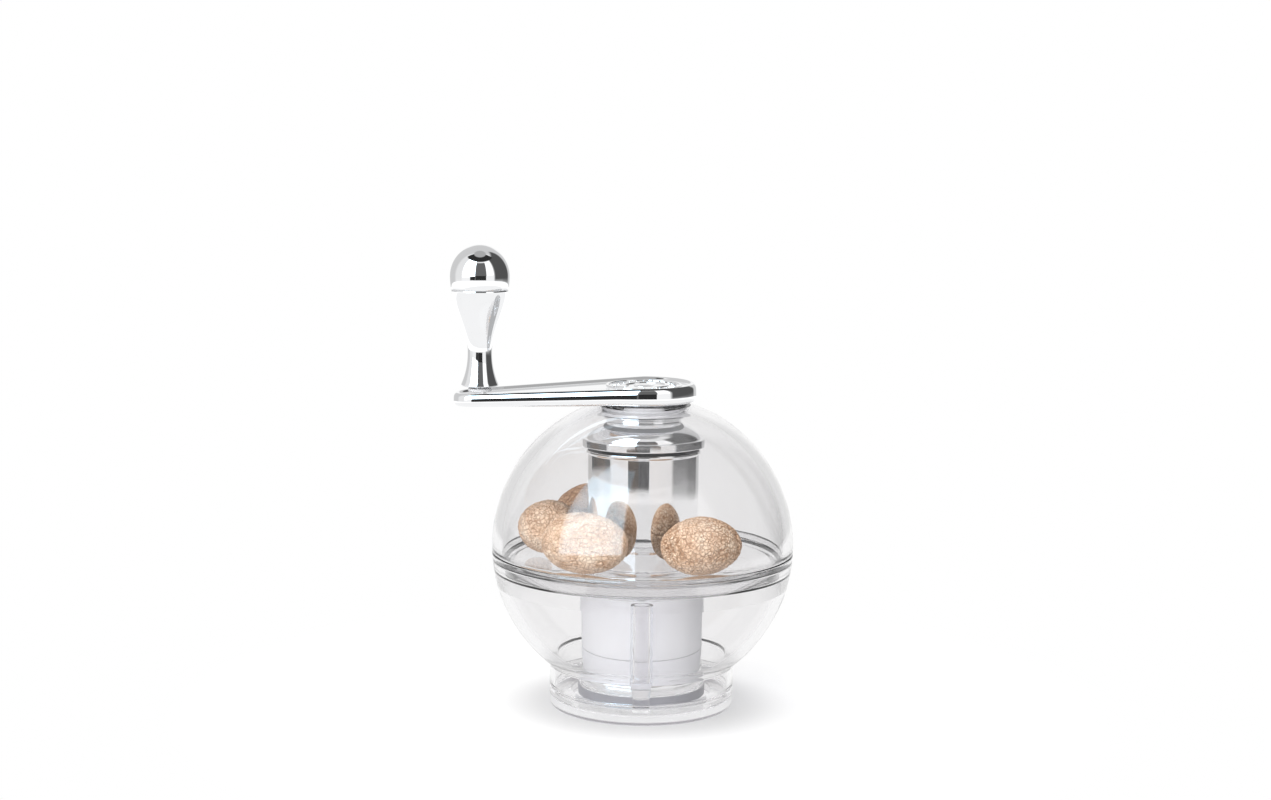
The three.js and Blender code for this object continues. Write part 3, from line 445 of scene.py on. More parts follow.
class Finish:
    """The node tree of a material or of the world, with one method that adds nodes."""

    def __init__(self, owner):
        owner.use_nodes = True
        self.tree = owner.node_tree
        self.tree.nodes.clear()

    def node(self, kind, settings=None, sockets=None, out=0):
        """Adds a node, sets it up, fills or links its sockets and returns one of its outputs."""
        made = self.tree.nodes.new(kind)
        for key, value in (settings or {}).items():
            if key == "stops":
                ramp = made.color_ramp
                while len(ramp.elements) < len(value):
                    ramp.elements.new(0.5)
                for stop, (place, colour) in zip(ramp.elements, value):
                    stop.position = place
                    stop.color = (*colour, 1)
            else:
                setattr(made, key, value)
        for key, value in (sockets or {}).items():
            if isinstance(value, Value):
                self.tree.links.new(value.socket, made.inputs[key])
            else:
                made.inputs[key].default_value = value
        return Value(self, made.outputs[out]) if made.outputs else None

    def place(self):
        """The object's own coordinates, in metres."""
        return self.node("ShaderNodeTexCoord", out="Object")

    def up(self):
        """The height of a point, in metres."""
        return self.node("ShaderNodeSeparateXYZ", {}, {0: self.place()}, out="Z")

    def ray(self, kind):
        """What the light path says of a ray: a yes or no as 1 or 0, or a count of its turns."""
        return self.node("ShaderNodeLightPath", out=kind)

    def noise(self, scale, detail=3, rough=0.5, stretch=(1, 1, 1)):
        """Noise on the object's own coordinates, with its pattern squeezed along an axis where asked."""
        where = self.node("ShaderNodeMapping", {}, {"Vector": self.place(), "Scale": stretch})
        return self.node("ShaderNodeTexNoise", {},
                         {"Vector": where, "Scale": scale, "Detail": detail, "Roughness": rough})

    def ramp(self, value, *stops):
        """A colour for each value. A stop is a value with its colour."""
        return self.node("ShaderNodeValToRGB", {"stops": stops}, {"Fac": value})

    def mix(self, share, first, second):
        """The first colour, with a share of the second in it."""
        return self.node("ShaderNodeMix", {"data_type": "RGBA"}, {0: share, 6: first, 7: second}, out=2)

    def bump(self, height, distance):
        """The normal of a relief whose height of 1 stands a distance in metres."""
        return self.node("ShaderNodeBump", {}, {"Height": height, "Distance": distance})

    def surface(self, shader, body=None):
        """Ends a material with its surface and, where given, the volume inside it."""
        sockets = {"Surface": shader, "Volume": body} if body else {"Surface": shader}
        self.node("ShaderNodeOutputMaterial", {}, sockets)


def material(name, make, slot=None):
    """A material and a slot name, which is the material's name where none is given."""
    made = bpy.data.materials.new(name)
    make(Finish(made))
    return made, slot or name


def acrylic(f, grey=9.0, ground=None):
    """Clear moulded acrylic: a faint cool tint, slight waves and smudges, and a grey that grows with the
    depth of plastic. Rays from lamps and to soft light pass straight through, which lights what is inside.
    A ground piece stands on the table: the share called ground shows through its flat underside as it is,
    and the rounded edge above that is darker, a painted shade for the dark contact line along it."""
    waves = f.bump(f.noise(60, 2), 0.00004)
    smudge = f.noise(90, 4).between(0.45, 0.8)
    tint = f.mix(smudge, (0.945, 0.941, 0.944, 1), (0.935, 0.931, 0.935, 1))
    up = f.up()
    if ground:
        # Painted shade: the rounded edge just above the flat underside is tinted dark for the contact line
        # there.
        rim = up.between(0.00015, 0.0004) * (1 - up.between(0.0008, 0.0013))
        tint = f.mix(rim, tint, (0.40, 0.38, 0.42, 1))
    clear = f.node("ShaderNodeBsdfPrincipled", {}, {
        "Base Color": tint, "Roughness": smudge * 0.012, "IOR": 1.49,
        "Transmission Weight": 1.0, "Normal": waves})
    through = f.node("ShaderNodeBsdfTransparent", {}, {"Color": (0.96, 0.96, 0.97, 1)})
    body = f.node("ShaderNodeVolumeAbsorption", {}, {"Color": (0.30, 0.29, 0.30, 1), "Density": grey})
    share = f.ray("Is Shadow Ray").most(f.ray("Is Diffuse Ray"))
    if ground:
        share = share.most((1 - up.between(0.00002, 0.0001)) * ground)
    f.surface(f.node("ShaderNodeMixShader", {}, {0: share, 1: clear, 2: through}), body)


def frosted(f):
    """Frosted plastic: even pale grey with a fine grain."""
    grain = f.noise(2600, 3)
    cloud = f.noise(120, 3)
    tone = f.ramp(cloud, (0.3, (0.64, 0.64, 0.65)), (0.7, (0.67, 0.67, 0.68)))
    f.surface(f.node("ShaderNodeBsdfPrincipled", {}, {
        "Base Color": tone, "Roughness": 0.38 + grain * 0.14, "Subsurface Weight": 0.25,
        "Subsurface Radius": (0.002, 0.002, 0.002), "Subsurface Scale": 1.0,
        "Normal": f.bump(grain, 0.00002)}))


def nylon(f):
    """Grey-white nylon, turned: fine rings and a satin surface."""
    rings = f.noise(900, 2, stretch=(0.15, 0.15, 1.6))
    tone = f.ramp(rings, (0.35, (0.62, 0.62, 0.63)), (0.65, (0.70, 0.70, 0.71)))
    f.surface(f.node("ShaderNodeBsdfPrincipled", {}, {
        "Base Color": tone, "Roughness": 0.42 + rings * 0.1, "Normal": f.bump(rings, 0.00002)}))


def metal(base, rough, smear, rings=0.0, stretch=(1, 1, 1), coats_and_painted_shade=()):
    """Metal of one colour: clouds of polish over the roughness, and fine lines along the stretch. Each layer
    given is a dull band between two heights in mm, with its colour and how much rougher it is. The collar's
    layer is a real finish, and the layers on the housing's foot and in the cap's gap are painted shade."""
    def make(f):
        cloud = f.noise(140, 4).between(0.4, 0.75)
        lines = f.noise(1500, 4, 0.6, stretch)
        dark = tuple(c * 0.95 for c in base)
        tone = f.mix(cloud * 0.6, (*base, 1), (*dark, 1))
        grain = rough + cloud * smear + lines * smear * 0.5
        bare = 1.0
        # A band is a real dull finish on the collar, and painted shade on the housing's foot and in the cap's
        # gap.
        for low, high, colour, dull in coats_and_painted_shade:
            coat_and_shade_band = f.up().band(low * MM, high * MM, 0.1 * MM)
            grain = grain + coat_and_shade_band * dull
            tone = f.mix(coat_and_shade_band, tone, (*colour, 1))
            bare = (1 - coat_and_shade_band) * bare
        f.surface(f.node("ShaderNodeBsdfPrincipled", {}, {
            "Base Color": tone, "Metallic": bare, "Roughness": grain,
            "Normal": f.bump(lines, rings or 0.0000004)}))
    return make


def nutmeg_shell(f):
    """Dry nutmeg: tan with a net of brown furrows. The coarse net is in the mesh and its attribute, and a
    finer one comes from cell borders on the object's coordinates. The attribute also holds a painted shade
    that darkens each nutmeg's upper side. Where it is over 1, on a dark nutmeg, the furrows are darker still."""
    # The furrow attribute: the coarse net, each nutmeg's own darkness, and a painted shade on its upper side.
    deep_net_and_painted_shade = f.node("ShaderNodeAttribute", {"attribute_name": "furrow"}, out="Fac")
    warp = f.node("ShaderNodeTexNoise", {}, {"Vector": f.place(), "Scale": 420.0, "Detail": 3.0}, out="Color")
    bent = f.node("ShaderNodeVectorMath", {"operation": "MULTIPLY_ADD"},
                  {0: warp, 1: (0.0011, 0.0011, 0.0011), 2: f.place()})
    edge = f.node("ShaderNodeTexVoronoi", {"feature": "DISTANCE_TO_EDGE"}, {"Vector": bent, "Scale": 1150.0})
    fine = 1 - edge.between(0.02, 0.2)
    cloud = f.noise(230, 5, 0.6)
    speck = f.noise(2300, 4, 0.65)
    net = (deep_net_and_painted_shade * 0.42 + fine * 0.42 + (speck - 0.5) * 0.6).between(0.0, 1.1)
    pale = f.ramp(cloud, (0.34, (0.72, 0.47, 0.295)), (0.5, (0.86, 0.62, 0.435)),
                  (0.66, (0.94, 0.77, 0.59)))
    tone = f.mix(net, pale, (0.34, 0.18, 0.09, 1))
    tone = f.mix((deep_net_and_painted_shade * 0.42 + fine * 0.2).between(0.75, 1.3), tone, (0.15, 0.075, 0.035, 1))
    height = speck * 0.3 - fine * 0.8 - deep_net_and_painted_shade * 0.3
    f.surface(f.node("ShaderNodeBsdfPrincipled", {}, {
        "Base Color": tone, "Roughness": 0.62 + net * 0.25, "Normal": f.bump(height, 0.0002)}))


CHROME_TONE = (0.90, 0.905, 0.915)
STEEL_TONE = (0.92, 0.92, 0.925)
UPRIGHT = (0.2, 0.2, 1)
COLLAR_COAT = (BLADE_TOP + 0.1, 2 * BLADE_TOP, (0.62, 0.62, 0.635), 0.35)
# Painted dark reflection: the housing's foot is dark grey and dull where its steel would mirror the bright
# table.
HOUSING_PAINTED_DARK_REFLECTION = (0, HOUSING_DARK_REFLECTION_TOP, (0.24, 0.24, 0.26), 0.2)
# Painted shadow: the cap's spigot and the underside of its flange are near black, the shade of the gap over
# the tube.
CAP_PAINTED_GAP_SHADOW = (0, FLANGE_Z + CAP_GAP_SHADOW_UP, (0.03, 0.03, 0.035), 0.4)

CLEAR = material("clear_acrylic", acrylic)
INNER = material("inner_acrylic", lambda f: acrylic(f, 2.5), "clear_acrylic")
GROUND = material("ground_acrylic", lambda f: acrylic(f, 6.0, 0.75), "clear_acrylic")
FROSTED = material("frosted_plastic", frosted)
NYLON = material("nylon", nylon)
CHROME = material("chrome", metal(CHROME_TONE, 0.02, 0.025))
STEEL = material("polished_steel", metal(STEEL_TONE, 0.02, 0.02, 0.0000008, UPRIGHT))
HOUSING = material("housing_steel", metal(STEEL_TONE, 0.09, 0.1, 0.000002, UPRIGHT, (COLLAR_COAT, HOUSING_PAINTED_DARK_REFLECTION)),
                   "polished_steel")
CAP = material("cap_chrome", metal(CHROME_TONE, 0.02, 0.025, coats_and_painted_shade=(CAP_PAINTED_GAP_SHADOW,)), "chrome")
CLIP = material("clip_steel", metal((0.80, 0.805, 0.82), 0.32, 0.1), "spring_steel")
BLADE = material("blade_steel", metal((0.60, 0.61, 0.62), 0.2, 0.1, 0.000004, (1, 0.1, 1)))
SPRING = material("spring_steel", metal((0.50, 0.51, 0.53), 0.22, 0.1, 0.000003))
SHELL = material("nutmeg_shell", nutmeg_shell)


# The clear casing


def upper_shell():
    """The ball's upper half, turned: up the outer sphere from the seam to the neck's hole, and down the inner
    one to a tongue that reaches below the seam."""
    tongue = SEAM_Z - TONGUE_H
    turned("upper_shell", [
        *ball_arc(BALL_R, SEAM_Z + 0.12, ball_z(BALL_R, TOP_HOLE_R + 0.15)),
        (TOP_HOLE_R, ball_z(BALL_R, TOP_HOLE_R) - 0.15),
        (TOP_HOLE_R, ball_z(BALL_IN_R, TOP_HOLE_R) + 0.15),
        *ball_arc(BALL_IN_R, ball_z(BALL_IN_R, TOP_HOLE_R + 0.15), tongue + 0.12),
        (ball_x(BALL_IN_R, tongue) + 0.12, tongue),
        (BALL_IN_R + TONGUE_T, tongue, 0.12),
        (BALL_IN_R + TONGUE_T, SEAM_Z, 0.1),
        (BALL_R - 0.12, SEAM_Z),
    ], "top", CLEAR)


def lower_shell():
    """The ball's lower half with its foot, turned: up the foot's wall and the outer sphere, over the rebate
    for the tongue, down the inner sphere past the floor's ledge, and round the lip in the base cap."""
    shoulder = SEAM_Z - GAP
    rebate = BALL_IN_R + TONGUE_T + GAP
    step = SEAM_Z - TONGUE_H - GAP
    foot_in = FOOT_R - FOOT_WALL
    ledge = ball_x(BALL_IN_R, FLOOR_EDGE_Z) - LEDGE_W
    below = ball_z(BALL_IN_R, ledge - 0.1, -1)
    lip = foot_in + LIP_T
    turned("lower_shell", [
        (lip, FOOT_Z, 0.08),
        (FOOT_R, FOOT_Z, 0.15),
        (FOOT_R, FOOT_TOP - 0.35),
        *ball_arc(BALL_R, ball_z(BALL_R, FOOT_R + 0.25, -1), shoulder - 0.12),
        (BALL_R - 0.12, shoulder),
        (rebate, shoulder, 0.1),
        (rebate, step, 0.1),
        *ball_arc(BALL_IN_R, step, FLOOR_EDGE_Z),
        (ledge, FLOOR_EDGE_Z, 0.12),
        (ball_x(BALL_IN_R, below) - 0.02, below, 0.3),
        *ball_arc(BALL_IN_R, below - 0.8, ball_z(BALL_IN_R, foot_in + 1.4, -1)),
        (foot_in, ball_z(BALL_IN_R, foot_in, -1), FOOT_CORNER),
        (foot_in, FOOT_Z - LIP_H, 0.12),
        (lip, FOOT_Z - LIP_H, 0.12),
    ], "base", CLEAR)


def base_cap():
    """The dish that closes the foot, turned: a flat underside, an arc at its edge, the wall up to the lip,
    and a bore whose upper part has notches for the pegs."""
    rim = FOOT_R - FOOT_WALL + LIP_T + GAP
    seat = FOOT_Z - LIP_H - GAP
    socket = PEG_BOTTOM - GAP
    turned("base_cap", [
        (0, 0),
        (FOOT_R - CAP_EDGE, 0, 0.2),
        *[(FOOT_R - CAP_EDGE + CAP_EDGE * math.cos(a), CAP_EDGE + CAP_EDGE * math.sin(a))
          for a in np.radians(np.linspace(-60, 0, 9))],
        (FOOT_R, FOOT_Z - GAP, 0.15),
        (rim, FOOT_Z - GAP, 0.12),
        (rim, seat, 0.08),
        (CAP_BORE_R, seat, 0, NOTCHED),
        (CAP_BORE_R, socket, 0, NOTCHED),
        (CAP_BORE_R, socket - 0.01),
        (CAP_BORE_R, CAP_FLOOR, 0.4),
        (0, CAP_FLOOR),
    ], "cap", GROUND, looped=False, columns=288)


def nutmeg_floor():
    """The dished floor, turned: a flat hub, a slope up to the ledge, the sphere's curve as its edge, and a
    slope back down to a collar round the tube."""
    bore = TUBE_R + GAP
    edge = FLOOR_EDGE_Z + GAP
    clear = BALL_IN_R - GAP
    slope_r = ball_x(clear, edge) - LEDGE_W - FLOOR_LAND
    turned("nutmeg_floor", [
        (bore, FLOOR_UNDER_Z, 0.1),
        (SLEEVE_R + FLOOR_HUB_W, FLOOR_UNDER_Z, 0.5),
        (slope_r, edge, 0.8),
        (ball_x(clear, edge), edge, 0.15),
        *ball_arc(clear, edge + 0.3, FLOOR_RIM_Z - 0.3),
        (ball_x(clear, FLOOR_RIM_Z), FLOOR_RIM_Z, 0.2),
        (bore + COLLAR_T + COLLAR_FLARE, FLOOR_INNER_Z, 0.5),
        (bore + COLLAR_T, FLOOR_INNER_Z + COLLAR_H, 0.3),
        (bore, FLOOR_INNER_Z + COLLAR_H, 0.2),
    ], "base", INNER)


def posts():
    """Two clear posts, bored from the top. Each tapers to a peg at its foot."""
    top = FLOOR_UNDER_Z - FIT
    for name, side in (("front_post", -1), ("rear_post", 1)):
        turned(name, [
            (0, PEG_BOTTOM),
            (PEG_R, PEG_BOTTOM, 0.25),
            (PEG_R, PEG_SHOULDER, 0.2),
            (POST_R, POST_SHOULDER, 0.25),
            (POST_R, top, 0.2),
            (POST_BORE_R, top, 0.1),
            (POST_BORE_R, POST_SHOULDER + POST_BORE_UP + 0.3, 0.6),
            (0, POST_SHOULDER + POST_BORE_UP),
        ], "base", INNER, looped=False, columns=96, at=(0, side * POST_CIRCLE_R))


# Tube, sleeve and blade housing


def sleeve():
    """The frosted sleeve, turned: a plain tube from the floor's underside down to the blade housing."""
    inner = TUBE_R + GAP
    turned("chamber_sleeve", [
        (inner, SLEEVE_BOTTOM - SLEEVE_DROP, 0.15),
        (SLEEVE_R, SLEEVE_BOTTOM - SLEEVE_DROP, 0.05),
        (SLEEVE_R, FLOOR_UNDER_Z, 0.15),
        (inner, FLOOR_UNDER_Z, 0.15),
    ], "base", FROSTED)


def chamber_tube():
    """The steel tube, turned: a plain wall with a low rounded bead round its top."""
    inner = TUBE_R - TUBE_WALL
    turned("chamber_tube", [
        (inner, TUBE_BOTTOM, 0.15),
        (TUBE_R, TUBE_BOTTOM, 0.15),
        (TUBE_R, TUBE_TOP - BEAD_H, 0.2),
        (TUBE_R + BEAD_W, TUBE_TOP - BEAD_H + 0.3, 0.25),
        (TUBE_R + BEAD_W, TUBE_TOP - 0.3, 0.25),
        (TUBE_R, TUBE_TOP, 0.15),
        (inner, TUBE_TOP, 0.2),
    ], "base", STEEL)


def blade_housing():
    """The ring in the foot, turned: a seat for the blade disc inside, and a thinner collar up to the
    sleeve."""
    bore = TUBE_R + GAP
    seat = BLADE_TOP - BLADE_T
    turned("blade_housing", [
        (bore - HOUSING_SEAT_W, HOUSING_BOTTOM, 0.2),
        (HOUSING_R, HOUSING_BOTTOM, 0.4),
        (HOUSING_R, BLADE_TOP, 0.4),
        (SLEEVE_R, BLADE_TOP, 0.15),
        (SLEEVE_R, SLEEVE_BOTTOM - GAP, 0.05),
        (bore, SLEEVE_BOTTOM - GAP, 0.1),
        (bore, seat, 0.05),
        (bore - HOUSING_SEAT_W, seat, 0.15),
    ], "base", HOUSING)


# The top that lifts off


def tube_cap():
    """The chrome cap, turned: a spigot in the tube, the flange, a shoulder that draws in by a power of its
    height, and a neck with a bearing bead, a groove for the split ring and a web round the shaft."""
    inner = TUBE_R - TUBE_WALL - GAP
    under = FLANGE_Z + FLANGE_RISE
    top = FLANGE_Z + FLANGE_T + FLANGE_MORE
    wide = FLANGE_R - SHOULDER_STEP - NECK_R
    shoulder = [(NECK_R + wide * (1 - t**SHOULDER_POWER), top + (NECK_BASE - top) * t)
                for t in np.linspace(0, 1, 29)]
    bead = BUSH_Z - FIT
    groove = RING_Z - FIT
    turned("tube_cap", [
        (NECK_BORE_R, FLANGE_Z - SPIGOT_H + 1, 0.1),
        (inner - SPIGOT_T, FLANGE_Z - SPIGOT_H, 0.1),
        (inner, FLANGE_Z - SPIGOT_H, 0.3),
        (inner, under, 0.1),
        (FLANGE_R, under, 0.2),
        (FLANGE_R, top, 0.2),
        (FLANGE_R - SHOULDER_STEP + 0.02, top, 0.08),
        *shoulder[1:],
        (NECK_R, bead - BEARING_BEAD_H - BEARING_BEAD / 2, 0.2),
        (NECK_R + BEARING_BEAD, bead - BEARING_BEAD_H / 2, 0.15),
        (NECK_R + BEARING_BEAD, bead, 0.1),
        (NECK_R, bead, 0.05),
        (NECK_R, groove, 0.08),
        (NECK_R - GROOVE_DEPTH, groove, 0.05),
        (NECK_R - GROOVE_DEPTH, groove + RING_T + GAP, 0.05),
        (NECK_R, groove + RING_T + GAP, 0.08),
        (NECK_R, NECK_TOP, 0.2),
        (WASHER_POCKET_R, NECK_TOP, 0.2),
        (WASHER_POCKET_R, WEB_TOP, 0.1),
        (JOURNAL_R + GAP, WEB_TOP, 0.15),
        (JOURNAL_R + GAP, WEB_BOTTOM, 0.15),
        (NECK_BORE_R, WEB_BOTTOM, 0.3),
    ], "top", CAP)


def neck_bush():
    """The bush between the neck and the ball's hole, turned, with a flange under the ball's wall."""
    bore = NECK_R + GAP
    turned("neck_bush", [
        (bore, BUSH_Z, 0.1),
        (BUSH_FLANGE_R, BUSH_Z, 0.15),
        (BUSH_FLANGE_R, BUSH_Z + BUSH_FLANGE_T, 0.1),
        (TOP_HOLE_R - GAP, ball_z(BALL_IN_R, TOP_HOLE_R) - GAP, 0.1),
        (TOP_HOLE_R - GAP, RING_Z - GAP, 0.1),
        (bore, RING_Z - GAP, 0.1),
    ], "top", NYLON)


def retaining_ring():
    """A split ring: a rectangle with rounded corners carried round the axis, short of a slit."""
    outline = flat_ring(NECK_R - GROOVE_DEPTH + GAP, RING_R, RING_Z, RING_Z + RING_T, 0.12, 0.12)
    section = finished(outline, True)
    slit = math.asin(RING_SLIT_W / 2 / RING_R)
    angle = np.linspace(math.pi / 2 + slit, math.pi / 2 + TAU - slit, 160)[:, None]
    r = section[None, :, 0]
    rings = np.stack([r * np.cos(angle), r * np.sin(angle), section[None, :, 1] + 0 * angle], -1)
    piece("retaining_ring_look", *lofted(rings), "top", CLIP, ["retaining_ring"])


def thrust_washer():
    """A flat ring in the neck's pocket, under the crank."""
    outline = flat_ring(JOURNAL_R + GAP, WASHER_POCKET_R - GAP, WEB_TOP, WEB_TOP + WASHER_T, 0.1, 0.1)
    turned("thrust_washer", outline, "top", NYLON, columns=96)


# The crank and what turns with it


def arm_ring(inset, height, ends=72, straight=24):
    """One ring of points round the arm at an inset from its side: two round ends joined by their common
    tangents, with the height worked out from x. A pair is a share of what an inset leaves of the ends."""
    lean = math.asin((HUB_R - TIP_R) / ARM_LEN)
    sweep = math.pi / 2 + lean
    hub = np.linspace(-sweep, sweep, 2 * ends)
    tip = np.linspace(sweep, TAU - sweep, ends)
    share = np.linspace(0, 1, straight + 2)[1:-1]
    centre = np.concatenate([0 * hub, -ARM_LEN * share, 0 * tip - ARM_LEN, -ARM_LEN * (1 - share)])
    angle = np.concatenate([hub, 0 * share + sweep, tip, 0 * share - sweep])
    radius = np.concatenate([0 * hub + HUB_R, HUB_R + (TIP_R - HUB_R) * share, 0 * tip + TIP_R,
                             TIP_R + (HUB_R - TIP_R) * share])
    radius = radius - inset if np.isscalar(inset) else (radius - inset[1]) * inset[0]
    x = centre + radius * np.cos(angle)
    return np.stack([x, radius * np.sin(angle), height(x)], 1)


def crank_arm():
    """The arm: rings up its side, over the rim and into the recess, then drawn in to the line between the
    two ends. The side is a smooth curve: full below, nearly upright above the middle, then drawn in to the
    rim's crest."""
    side = np.array([(ARM_EDGE, 0), (0.5, 0.02), (0.12, 0.14), (0, 0.34), (0, 0.52), (0.06, 0.76),
                     (0.24, 0.88), (0.5, 0.96), (0.66, 1.0), (RIM_CREST, 1.0)])
    for _ in range(3):
        first = side[:-1] * 0.75 + side[1:] * 0.25
        second = side[:-1] * 0.25 + side[1:] * 0.75
        between = np.stack([first, second], 1).reshape(-1, 2)
        side = np.concatenate([side[:1], between[1:-1], side[-1:]])
    rings = [arm_ring(inset, lambda x, up=up: arm_under_z(x) * (1 - up) + arm_top_z(x) * up)
             for inset, up in side.tolist()]
    fall = RIM_W - RIM_CREST
    for t in np.linspace(0, 1, 13)[1:]:
        rings.append(arm_ring(RIM_CREST + fall * t,
                              lambda x, t=t: arm_top_z(x) - RIM_H * (0.5 - 0.5 * math.cos(math.pi * t))))
    shares = (0.0, 0.2, 0.45, 0.7, 0.9, 0.985)
    recess = [arm_ring((share, RIM_W), lambda x: arm_top_z(x) - RIM_H) for share in shares[::-1]]
    under = [arm_ring((share, ARM_EDGE), arm_under_z) for share in shares]
    stack = np.stack(under + rings + recess)
    faces = grid_faces(*stack.shape[:2], False)
    piece("crank_arm_look", stack.reshape(-1, 3), faces, "crank", CHROME, ["crank_arm"])


def crank_mark():
    """A plain raised mark on the hub: a ring, a row of short bars and an arrow that shows the way to turn."""
    base = ARM_TOP - RIM_H - MARK_SUNK
    high = ARM_TOP - RIM_H + MARK_H
    inner = MARK_R - MARK_RING_W

    def bar(line, widths):
        """A raised rounded bar along a line of points, with a width at each."""
        along = np.gradient(line, axis=0)
        along /= np.linalg.norm(along, axis=1)[:, None]
        side = np.stack([-along[:, 1], along[:, 0]], 1)
        half = np.array([(1, 0), (0.94, 0.55), (0.75, 0.9), (0.45, 1)])
        shape = np.concatenate([half * (-1, 1), half[::-1]])
        xy = line[:, None, :] + side[:, None, :] * (shape[None, :, :1] * widths[:, None, None] / 2)
        fall = ARM_FALL * np.minimum(0, xy[..., :1])
        z = base + (high - base) * shape[None, :, 1:] * np.ones_like(xy[..., :1]) + fall
        return lofted(np.concatenate([xy, z], -1))

    ring = [(MARK_R, base), (MARK_R, high, 0.3), (inner, high, 0.3), (inner, base)]
    parts = [turned_points(ring, columns=160)]
    a = np.radians(np.linspace(-60, 215, 120))
    width = np.interp(np.arange(120), [0, 100, 100.5, 119], [0.9, 1.5, 4.0, 0.15])
    parts.append(bar(MARK_ARROW_R * np.stack([np.cos(a), np.sin(a)], 1), width))
    width = np.interp(np.arange(8), [0, 1, 6, 7], [0.25, 0.6, 0.6, 0.25])
    for a in full_turn(MARK_BARS):
        line = np.outer(np.linspace(MARK_BAR_INNER, MARK_BAR_OUTER, 8), [math.cos(a), math.sin(a)])
        parts.append(bar(line, width))
    dome = [(0, base), (MARK_DOME_R, base), (MARK_DOME_R, high - 0.25, 0.2), (MARK_DOME_R - 1.2, high, 0.8),
            (0, high)]
    parts.append(turned_points(dome, looped=False, columns=72))
    piece("crank_mark", *joined(*parts), "crank", CHROME)


def drive_shaft():
    """The shaft, turned with square points: a chamfered lower end, then a round collar that takes the
    spring, a round journal in the web and a square upper end in the crank."""
    top = ARM_UNDER + SOCKET_DEPTH - GAP
    half = SHAFT_SQUARE / 2
    turned("drive_shaft", [
        (0, SHAFT_BOTTOM, 0, SQUARE),
        (half - 0.6, SHAFT_BOTTOM, 0, SQUARE),
        (half, SHAFT_BOTTOM + 0.6, 0.2, SQUARE),
        (half, SHAFT_COLLAR_Z - 0.02, 0, SQUARE),
        (half * 1.4, SHAFT_COLLAR_Z),
        (SHAFT_COLLAR_R, SHAFT_COLLAR_Z, 0.2),
        (SHAFT_COLLAR_R, SHAFT_COLLAR_Z + SHAFT_COLLAR_T, 0.2),
        (JOURNAL_R, SHAFT_COLLAR_Z + SHAFT_COLLAR_T, 0.1),
        (JOURNAL_R, WEB_TOP + WASHER_T, 0.1),
        (half, WEB_TOP + WASHER_T + 0.02, 0, SQUARE),
        (half, top, 0.2, SQUARE),
        (0, top, 0, SQUARE),
    ], "crank", STEEL, looped=False, columns=128)


def plunger_spring():
    """Compression spring: a round wire along a helix whose rise is slow in the first and last turn."""
    steps = SPRING_TURNS * 40
    t = np.linspace(0, 1, steps + 1)
    end = 1 / SPRING_TURNS
    pitch = 0.22 + 0.78 * np.clip(np.minimum(t, 1 - t) / end, 0, 1) ** 2
    rise = np.concatenate([[0], np.cumsum((pitch[1:] + pitch[:-1]) / 2)])
    rise /= rise[-1]
    low = SPRING_BOTTOM + WIRE_R
    high = SPRING_TOP - WIRE_R
    a = t * SPRING_TURNS * TAU
    k = full_turn(14)[None, :]
    r = SPRING_R + WIRE_R * np.cos(k) * np.ones_like(a)[:, None]
    z = (low + (high - low) * rise)[:, None] + WIRE_R * np.sin(k)
    rings = np.stack([r * np.cos(a)[:, None], r * np.sin(a)[:, None], z], -1)
    ob = piece("plunger_spring_look", *lofted(rings), "crank", SPRING, ["plunger_spring"])
    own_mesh(ob)


# The sprung claw plunger


def plunger_stem():
    """The stem that slides on the shaft, turned: a flange between the claw plate and the spring, and a square
    bore with a round mouth at either end."""
    tail = PLATE_BOTTOM - NUT_T - 1
    half = SHAFT_SQUARE / 2 + GAP
    turned("plunger_stem", [
        (STEM_R, tail, 0.3),
        (STEM_R, STEM_FLANGE_Z, 0.05),
        (STEM_FLANGE_R, STEM_FLANGE_Z, 0.15),
        (STEM_FLANGE_R, STEM_FLANGE_Z + STEM_FLANGE_T, 0.25),
        (STEM_R, STEM_FLANGE_Z + STEM_FLANGE_T, 0.2),
        (STEM_R, STEM_TOP, 0.35),
        (half * 1.42, STEM_TOP),
        (half, STEM_TOP - 0.3, 0, SQUARE),
        (half, tail + 0.3, 0, SQUARE),
        (half * 1.42, tail),
    ], "plunger", NYLON, columns=128)


def claw_plate():
    """A round plate with a ring of claws. A claw's section is a rounded rectangle that narrows to the tip."""
    outline = flat_ring(STEM_R + GAP, PLATE_R, PLATE_BOTTOM, PLATE_BOTTOM + PLATE_T, 0.15, 0.3)
    down = np.linspace(-CLAW_ROOT / CLAW_LEN, 1, 24)[:, None]
    k = full_turn(32)[None, :]
    power = 0.45
    wide = CLAW_W / 2 * (1 - 0.97 * np.clip(down, 0, 1) ** 1.15)
    thick = CLAW_T / 2 * (1 - 0.6 * np.clip(down, 0, 1))
    across = wide * np.sign(np.cos(k)) * np.abs(np.cos(k)) ** power
    out = CLAW_CIRCLE_R + thick * np.sign(np.sin(k)) * np.abs(np.sin(k)) ** power
    z = PLATE_BOTTOM - CLAW_LEN * down + 0 * k
    parts = [turned_points(outline)]
    for turn in np.arange(CLAW_COUNT) * TAU / CLAW_COUNT:
        x = across * math.cos(turn) - out * math.sin(turn)
        y = across * math.sin(turn) + out * math.cos(turn)
        parts.append(lofted(np.stack([x, y, z], -1)))
    piece("claw_plate_look", *joined(*parts), "plunger", BLADE, ["claw_plate"])


def claw_nut():
    """The push nut under the claw plate, turned: a ring whose side leans outward."""
    turned("claw_nut", [
        (STEM_R + GAP, PLATE_BOTTOM - NUT_T, 0.1),
        (NUT_R - 0.4, PLATE_BOTTOM - NUT_T, 0.3),
        (NUT_R, PLATE_BOTTOM, 0.1),
        (STEM_R + GAP, PLATE_BOTTOM, 0.1),
    ], "plunger", SPRING, columns=96)


# The knob on the arm's end


